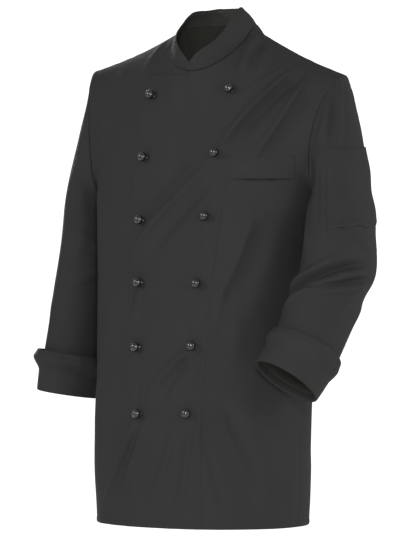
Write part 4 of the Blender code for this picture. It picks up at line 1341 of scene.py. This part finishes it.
def make_button(name, x, z, look):
    """A ball stud on its shank, square to the cloth at its place."""
    w, v = locate(x, z, over_surface)
    under = over_surface(w, v)
    out = surface_normal(over_surface, w, v)
    foot = under + out * (front_shape(under) + 0.0004)
    first = unit(np.cross(np.array([0.0, 0.0, 1.0]), out))
    second = np.cross(out, first)
    profile, crown = button_profile()
    turn = np.arange(BUTTON_AROUND) * 2 * math.pi / BUTTON_AROUND
    ring = first * np.cos(turn)[:, None] + second * np.sin(turn)[:, None]
    points = [foot - out * 0.0002]
    for radius, height in profile:
        points.extend(foot + out * height + ring * radius)
    points.append(foot + out * crown)
    faces = []
    top = len(points) - 1
    for k in range(BUTTON_AROUND):
        after = (k + 1) % BUTTON_AROUND
        faces.append((0, 1 + after, 1 + k))
        for i in range(len(profile) - 1):
            low = 1 + i * BUTTON_AROUND
            high = low + BUTTON_AROUND
            faces.append((low + k, low + after, high + after, high + k))
        faces.append((top - BUTTON_AROUND + k, top - BUTTON_AROUND + after, top))
    return make_mesh(name, np.array(points), faces, None, look, sharp=60)


# ---- Finishes ----

def new_tree(name):
    """A new finish, with its tree and its shader."""
    made = bpy.data.materials.new(name)
    made.use_nodes = True
    return made, made.node_tree, made.node_tree.nodes["Principled BSDF"]


def add_node(tree, kind, **settings):
    """A node with some of its properties or sockets set."""
    node = tree.nodes.new(kind)
    for key, value in settings.items():
        if key in node.bl_rna.properties:
            setattr(node, key, value)
        else:
            node.inputs[key].default_value = value
    return node


def math_node(tree, operation, first, second=None):
    """Result of a sum on numbers or sockets."""
    node = tree.nodes.new("ShaderNodeMath")
    node.operation = operation
    for socket, value in zip(node.inputs, (first, second)):
        if isinstance(value, (int, float)):
            socket.default_value = value
        elif value is not None:
            tree.links.new(value, socket)
    return node.outputs[0]


RIB_SPACING = 0.0011    # between the twill's diagonal ribs
RIB_ACROSS = 0.52       # slant of the ribs: shares across and up the cloth
RIB_UP = 0.85
RIB_HEIGHT = 0.5        # share of the relief that comes from the ribs,
THREAD_HEIGHT = 0.18    # from the threads across them,
YARN_HEIGHT = 0.5       # and from uneven yarn


def twill_group():
    """Twill weave: fine diagonal ribs with threads across them, on the cloth's plan. Its Shade
    output paints the relief into the colour, darker in the grooves.
    """
    group = bpy.data.node_groups.new("twill weave", "ShaderNodeTree")
    face = group.interface
    face.new_socket("Vector", in_out="INPUT", socket_type="NodeSocketVector")
    rib = face.new_socket("Rib Spacing", in_out="INPUT", socket_type="NodeSocketFloat")
    rib.default_value = RIB_SPACING
    face.new_socket("Height", in_out="OUTPUT", socket_type="NodeSocketFloat")
    face.new_socket("Shade", in_out="OUTPUT", socket_type="NodeSocketFloat")
    inside = group.nodes.new("NodeGroupInput")
    outside = group.nodes.new("NodeGroupOutput")
    split = group.nodes.new("ShaderNodeSeparateXYZ")
    group.links.new(inside.outputs["Vector"], split.inputs[0])
    across = math_node(group, "MULTIPLY", split.outputs["X"], RIB_ACROSS)
    up = math_node(group, "MULTIPLY", split.outputs["Y"], RIB_UP)
    slant = math_node(group, "ADD", across, up)
    phase = math_node(group, "DIVIDE", slant, inside.outputs["Rib Spacing"])
    wave = math_node(group, "SINE", math_node(group, "MULTIPLY", phase, 2 * math.pi))
    thread = math_node(group, "DIVIDE", split.outputs["X"], inside.outputs["Rib Spacing"])
    fine = math_node(group, "SINE", math_node(group, "MULTIPLY", thread, 4 * math.pi))
    both = math_node(group, "ADD", math_node(group, "MULTIPLY", wave, RIB_HEIGHT),
                     math_node(group, "MULTIPLY", fine, THREAD_HEIGHT))
    yarn = add_node(group, "ShaderNodeTexNoise", Scale=900.0, Detail=2.0)
    group.links.new(inside.outputs["Vector"], yarn.inputs["Vector"])
    centred = math_node(group, "SUBTRACT", yarn.outputs["Fac"], 0.5)
    height = math_node(group, "ADD", both, math_node(group, "MULTIPLY", centred, YARN_HEIGHT))
    group.links.new(height, outside.inputs["Height"])
    # painted shade: the relief, lighter on the ribs and darker in the grooves, also sets the
    # colour; the uneven yarn in it is the yarn's own tone
    shade = math_node(group, "ADD", math_node(group, "MULTIPLY", height, 0.5), 0.5)
    group.links.new(shade, outside.inputs["Shade"])
    return group


def wear_group():
    """Slow unevenness of a dyed cloth, from 0 to 1."""
    group = bpy.data.node_groups.new("dye variation", "ShaderNodeTree")
    face = group.interface
    face.new_socket("Vector", in_out="INPUT", socket_type="NodeSocketVector")
    size = face.new_socket("Patch Size", in_out="INPUT", socket_type="NodeSocketFloat")
    size.default_value = 0.08
    face.new_socket("Amount", in_out="OUTPUT", socket_type="NodeSocketFloat")
    inside = group.nodes.new("NodeGroupInput")
    outside = group.nodes.new("NodeGroupOutput")
    scaled = group.nodes.new("ShaderNodeVectorMath")
    scaled.operation = "SCALE"
    group.links.new(inside.outputs["Vector"], scaled.inputs[0])
    per_metre = math_node(group, "DIVIDE", 1.0, inside.outputs["Patch Size"])
    group.links.new(per_metre, scaled.inputs["Scale"])
    cloud = add_node(group, "ShaderNodeTexNoise", Scale=1.0, Detail=4.0, Roughness=0.6)
    group.links.new(scaled.outputs[0], cloud.inputs["Vector"])
    group.links.new(cloud.outputs["Fac"], outside.inputs["Amount"])
    return group


def place_group(tree, group, **values):
    """A node group placed in a finish with its own values."""
    node = tree.nodes.new("ShaderNodeGroup")
    node.node_tree = group
    for key, value in values.items():
        node.inputs[key.replace("_", " ")].default_value = value
    return node


def two_tone(tree, shader, light, dark, amount):
    """Base colour between two tones, by an amount from 0 to 1."""
    mix = add_node(tree, "ShaderNodeMix", data_type="RGBA")
    mix.inputs["A"].default_value = (*dark, 1)
    mix.inputs["B"].default_value = (*light, 1)
    tree.links.new(amount, mix.inputs["Factor"])
    tree.links.new(mix.outputs["Result"], shader.inputs["Base Color"])


def uneven_gloss(tree, shader, amount, spread, least):
    """Roughness that starts at least and grows by the spread with an amount."""
    rough = math_node(tree, "ADD", math_node(tree, "MULTIPLY", amount, spread), least)
    tree.links.new(rough, shader.inputs["Roughness"])


# Tones of each cloth, light then dark
CLOTH_TONES = {
    "black twill": ((0.0175, 0.0175, 0.0173), (0.0120, 0.0120, 0.0118)),
    "black twill collar": ((0.0180, 0.0180, 0.0177), (0.0124, 0.0124, 0.0121)),
    # painted light: the wrong side is lighter, with an olive cast; partly the cloth's own wrong
    # side, partly lightened to stand in for light reaching inside the jacket
    "black twill wrong side with painted light": ((0.0260, 0.0260, 0.0225), (0.0190, 0.0190, 0.0160)),
    # painted light: the collar's facing is about twice as light as the outside, to stand in for
    # light falling inside the collar
    "black twill facing with painted light": ((0.0340, 0.0340, 0.0325), (0.0250, 0.0250, 0.0235)),
}
THREAD_TONES = ((0.024, 0.024, 0.023), (0.013, 0.013, 0.013))
BUTTON_TONES = ((0.010, 0.007, 0.006), (0.004, 0.003, 0.003))
WEAVE_SHADE_SHARE = 0.35      # share of a cloth's tone that follows its weave's relief, as painted shade in the grooves and the yarn's own tone, not its dye


def cloth_look(name, twill, wear):
    """Matt dyed twill, with painted shade in the grooves of its weave."""
    made, tree, shader = new_tree(name)
    plan = add_node(tree, "ShaderNodeUVMap", uv_map="cloth")
    place = tree.nodes.new("ShaderNodeTexCoord")
    weave = place_group(tree, twill, Rib_Spacing=RIB_SPACING)
    tree.links.new(plan.outputs["UV"], weave.inputs["Vector"])
    cloud = place_group(tree, wear, Patch_Size=0.07)
    tree.links.new(place.outputs["Object"], cloud.inputs["Vector"])
    # painted shade: the weave's grooves darken the colour; the rest is the dye's slow unevenness
    by_weave_shade = math_node(tree, "MULTIPLY", weave.outputs["Shade"], WEAVE_SHADE_SHARE)
    by_dye = math_node(tree, "MULTIPLY", cloud.outputs["Amount"], 1 - WEAVE_SHADE_SHARE)
    amount = math_node(tree, "ADD", by_weave_shade, by_dye)
    two_tone(tree, shader, *CLOTH_TONES[name], amount)
    uneven_gloss(tree, shader, cloud.outputs["Amount"], spread=0.10, least=0.77)
    bump = add_node(tree, "ShaderNodeBump", Strength=0.35, Distance=0.00012)
    tree.links.new(weave.outputs["Height"], bump.inputs["Height"])
    tree.links.new(bump.outputs["Normal"], shader.inputs["Normal"])
    shader.inputs["Specular IOR Level"].default_value = 0.06
    return made


def thread_look():
    """Black sewing thread with a little fuzz."""
    made, tree, shader = new_tree("sewing thread black")
    place = tree.nodes.new("ShaderNodeTexCoord")
    fuzz = add_node(tree, "ShaderNodeTexNoise", Scale=2600.0, Detail=1.0)
    tree.links.new(place.outputs["Object"], fuzz.inputs["Vector"])
    two_tone(tree, shader, *THREAD_TONES, fuzz.outputs["Fac"])
    shader.inputs["Roughness"].default_value = 0.7
    shader.inputs["Specular IOR Level"].default_value = 0.1
    return made


def button_look(wear):
    """Dark moulded plastic, polished."""
    made, tree, shader = new_tree("polished dark button")
    place = tree.nodes.new("ShaderNodeTexCoord")
    cloud = place_group(tree, wear, Patch_Size=0.004)
    tree.links.new(place.outputs["Object"], cloud.inputs["Vector"])
    two_tone(tree, shader, *BUTTON_TONES, cloud.outputs["Amount"])
    uneven_gloss(tree, shader, cloud.outputs["Amount"], spread=0.06, least=0.10)
    shader.inputs["IOR"].default_value = 1.50
    return made


# ---- Topstitching ----

STITCH_PITCH = 0.0031
STITCH_LENGTH = 0.0025
THREAD_WIDTH = 0.00050
THREAD_STAND = 0.22     # share of the thread's width by which its middle clears the cloth


def stitch_tree():
    """Lays one thread stitch on each point, turned along its row and up off the cloth."""
    tree = bpy.data.node_groups.new("lay stitches", "GeometryNodeTree")
    face = tree.interface
    face.new_socket("Geometry", in_out="INPUT", socket_type="NodeSocketGeometry")
    for label, value in (("Stitch Length", STITCH_LENGTH), ("Thread Width", THREAD_WIDTH)):
        face.new_socket(label, in_out="INPUT", socket_type="NodeSocketFloat").default_value = value
    face.new_socket("Thread", in_out="INPUT", socket_type="NodeSocketMaterial")
    face.new_socket("Geometry", in_out="OUTPUT", socket_type="NodeSocketGeometry")
    nodes = tree.nodes
    link = tree.links.new
    inside = nodes.new("NodeGroupInput")
    outside = nodes.new("NodeGroupOutput")
    ball = nodes.new("GeometryNodeMeshUVSphere")
    ball.inputs["Segments"].default_value = 6
    ball.inputs["Rings"].default_value = 5
    ball.inputs["Radius"].default_value = 0.5
    size = nodes.new("ShaderNodeCombineXYZ")
    link(inside.outputs["Stitch Length"], size.inputs["X"])
    link(inside.outputs["Thread Width"], size.inputs["Y"])
    link(inside.outputs["Thread Width"], size.inputs["Z"])
    shaped = nodes.new("GeometryNodeTransform")
    link(ball.outputs["Mesh"], shaped.inputs["Geometry"])
    link(size.outputs[0], shaped.inputs["Scale"])
    directions = []
    for label in ("run", "out"):
        read = nodes.new("GeometryNodeInputNamedAttribute")
        read.data_type = "FLOAT_VECTOR"
        read.inputs["Name"].default_value = label
        directions.append(read.outputs["Attribute"])
    along = nodes.new("FunctionNodeAlignRotationToVector")
    along.axis = "X"
    link(directions[0], along.inputs["Vector"])
    upright = nodes.new("FunctionNodeAlignRotationToVector")
    upright.axis = "Z"
    upright.pivot_axis = "X"
    link(along.outputs["Rotation"], upright.inputs["Rotation"])
    link(directions[1], upright.inputs["Vector"])
    laid = nodes.new("GeometryNodeInstanceOnPoints")
    link(inside.outputs["Geometry"], laid.inputs["Points"])
    link(shaped.outputs["Geometry"], laid.inputs["Instance"])
    link(upright.outputs["Rotation"], laid.inputs["Rotation"])
    real = nodes.new("GeometryNodeRealizeInstances")
    link(laid.outputs["Instances"], real.inputs["Geometry"])
    dressed = nodes.new("GeometryNodeSetMaterial")
    link(real.outputs["Geometry"], dressed.inputs["Geometry"])
    link(inside.outputs["Thread"], dressed.inputs["Material"])
    link(dressed.outputs["Geometry"], outside.inputs["Geometry"])
    return tree


def stitch_points(rows):
    """Even points along rows of topstitching, with the way each stitch runs and faces."""
    places, runs, outs = [], [], []
    for points, sides in rows:
        steps = np.linalg.norm(np.diff(points, axis=0), axis=1)
        run = np.concatenate([[0], np.cumsum(steps)])
        count = max(int(run[-1] / STITCH_PITCH), 1)
        at = (np.arange(count) + 0.5) * run[-1] / count
        ahead = interpolate(at + 0.001, run, points)
        behind = interpolate(at - 0.001, run, points)
        side = unit(interpolate(at, run, sides))
        places.append(interpolate(at, run, points) + side * THREAD_WIDTH * THREAD_STAND)
        runs.append(unit(ahead - behind))
        outs.append(side)
    return np.concatenate(places), np.concatenate(runs), np.concatenate(outs)


def make_stitches(tree, look):
    """All topstitching as one mesh for each piece that carries it."""
    made = {}
    for piece, rows in STITCH_ROWS.items():
        places, runs, outs = stitch_points(rows)
        mesh = bpy.data.meshes.new("rows_" + piece)
        mesh.from_pydata(places.tolist(), [], [])
        for label, values in (("run", runs), ("out", outs)):
            mesh.attributes.new(label, "FLOAT_VECTOR", "POINT").data.foreach_set(
                "vector", values.astype(np.float32).ravel())
        guide = bpy.data.objects.new("rows_" + piece, mesh)
        bpy.context.scene.collection.objects.link(guide)
        layer = guide.modifiers.new("stitches", "NODES")
        layer.node_group = tree
        for item in tree.interface.items_tree:
            if item.in_out == "INPUT" and item.name == "Thread":
                layer[item.identifier] = look
        depsgraph = bpy.context.evaluated_depsgraph_get()
        plain = bpy.data.meshes.new_from_object(guide.evaluated_get(depsgraph))
        plain.name = "stitching_" + piece
        for label in ("run", "out"):
            if label in plain.attributes:
                plain.attributes.remove(plain.attributes[label])
        plain.shade_smooth()
        bpy.data.objects.remove(guide, do_unlink=True)
        made[piece] = bpy.data.objects.new("stitching_" + piece, plain)
        bpy.context.scene.collection.objects.link(made[piece])
    return made


# ---- Room, light and camera ----

def soft_light(name, place, aim, size, power):
    """A white softbox at a place, turned to an aim."""
    data = bpy.data.lights.new(name, "AREA")
    data.shape = "RECTANGLE"
    data.size, data.size_y = size
    data.energy = power
    made = bpy.data.objects.new(name, data)
    bpy.context.scene.collection.objects.link(made)
    made.location = place
    made.rotation_euler = direction_turn(np.array(aim) - np.array(place))


def direction_turn(way):
    """Euler turn that points an object's -Z along a way, with its Y upwards."""
    return Vector(tuple(way)).to_track_quat("-Z", "Y").to_euler()


VIEW_AZIMUTH = math.radians(30)
VIEW_RISE = math.radians(3)
VIEW_DISTANCE = 14.0
VIEW_HEIGHT = 0.8853    # of the frame, at the jacket
VIEW_CENTRE = (0.0014, -0.0169, -0.3882)
BACKDROP_GLOW = 1.2     # the white backdrop as seen
ROOM_GLOW = 0.72        # and the light that it gives
FLOOR_REACH = 1.5
FLOOR_Z = -1.02

# Softboxes. Columns: name, place, point aimed at, width and height, watts
SOFTBOXES = [
    ("key softbox", (-1.8, -2.6, 0.9), (0, 0, -0.35), (1.0, 1.4), 66),
    ("front softbox", (2.0, -3.6, 0.5), (0, 0, -0.3), (0.8, 1.1), 150),
    ("side softbox", (3.0, -0.9, 0.2), (0, 0, -0.4), (0.9, 1.4), 34),
    ("left rim softbox", (2.4, 2.4, 0.6), (0, 0, -0.4), (0.9, 1.4), 60),
    ("right rim softbox", (-2.6, 2.2, 0.6), (0, 0, -0.4), (0.9, 1.4), 60),
]


def make_studio():
    """White backdrop, pale floor, softboxes and camera."""
    scene = bpy.context.scene
    scene.view_settings.view_transform = "Standard"
    world = bpy.data.worlds.new("pale studio")
    world.use_nodes = True
    tree = world.node_tree
    backdrop = tree.nodes["Background"]
    backdrop.inputs["Color"].default_value = (1, 1, 1, 1)
    seen = tree.nodes.new("ShaderNodeLightPath").outputs["Is Camera Ray"]
    extra = math_node(tree, "MULTIPLY", seen, BACKDROP_GLOW - ROOM_GLOW)
    tree.links.new(math_node(tree, "ADD", extra, ROOM_GLOW), backdrop.inputs["Strength"])
    scene.world = world
    floor = bpy.data.meshes.new("floor")
    corners = ((-1, -1), (1, -1), (1, 1), (-1, 1))
    floor.from_pydata([(x * FLOOR_REACH, y * FLOOR_REACH, FLOOR_Z) for x, y in corners], [],
                      [(0, 1, 2, 3)])
    pale, tree, shader = new_tree("pale floor")
    shader.inputs["Base Color"].default_value = (0.97, 0.97, 0.97, 1)
    shader.inputs["Roughness"].default_value = 0.9
    floor.materials.append(pale)
    floor = bpy.data.objects.new("floor", floor)
    scene.collection.objects.link(floor)
    for softbox in SOFTBOXES:
        soft_light(*softbox)
    toward = np.array([math.sin(VIEW_AZIMUTH) * math.cos(VIEW_RISE),
                       -math.cos(VIEW_AZIMUTH) * math.cos(VIEW_RISE), math.sin(VIEW_RISE)])
    data = bpy.data.cameras.new("camera")
    data.lens = data.sensor_width * VIEW_DISTANCE / VIEW_HEIGHT
    data.clip_end = 200
    camera = bpy.data.objects.new("camera", data)
    scene.collection.objects.link(camera)
    camera.location = np.array(VIEW_CENTRE) + toward * VIEW_DISTANCE
    camera.rotation_euler = direction_turn(-toward)
    scene.camera = camera


def declare(made, node):
    """Attach a cloth piece to the root and hide the solid it stands for; its cut size is read but
    not used.
    """
    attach(made, "root")
    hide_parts(node)
    width, length, area = CUT_SIZES[made.name]


def main():
    twill = twill_group()
    wear = wear_group()
    jacket_cloth, collar_cloth, inside_cloth_painted_lighter, facing_cloth_painted_lighter = [
        cloth_look(name, twill, wear) for name in CLOTH_TONES]
    buttons = button_look(wear)
    thread = thread_look()
    left = Sleeve(LEFT_ARM, 1)
    right = Sleeve(RIGHT_ARM, -1)
    pieces = [
        (make_front("right_front", -1, under_surface, jacket_cloth, inside_cloth_painted_lighter), "front_right"),
        (make_front("left_front", 1, over_surface, jacket_cloth, inside_cloth_painted_lighter), "front_left"),
        (make_back(jacket_cloth, inside_cloth_painted_lighter), "back"),
        (make_collar(collar_cloth, facing_cloth_painted_lighter), "collar"),
        (make_sleeve("left_sleeve", left, jacket_cloth, inside_cloth_painted_lighter), "sleeve_left"),
        (make_sleeve("right_sleeve", right, jacket_cloth, inside_cloth_painted_lighter), "sleeve_right"),
        (make_cuff("left_cuff", left, collar_cloth), "cuff_left"),
        (make_cuff("right_cuff", right, collar_cloth), "cuff_right"),
        (make_welt(collar_cloth), "breast_pocket_welt"),
        (make_sleeve_pocket(left, jacket_cloth), "sleeve_pocket"),
    ]
    stitches = make_stitches(stitch_tree(), thread)
    for made, node in pieces:
        extra = [stitches[made.name]] if made.name in stitches else []
        for rows in extra:
            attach(rows, "root")
        declare(made, node)
    for name, x, z in button_places():
        stud = make_button("ball_" + name, x, z, buttons)
        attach(stud, "root")
        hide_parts(name)
    make_studio()


main()
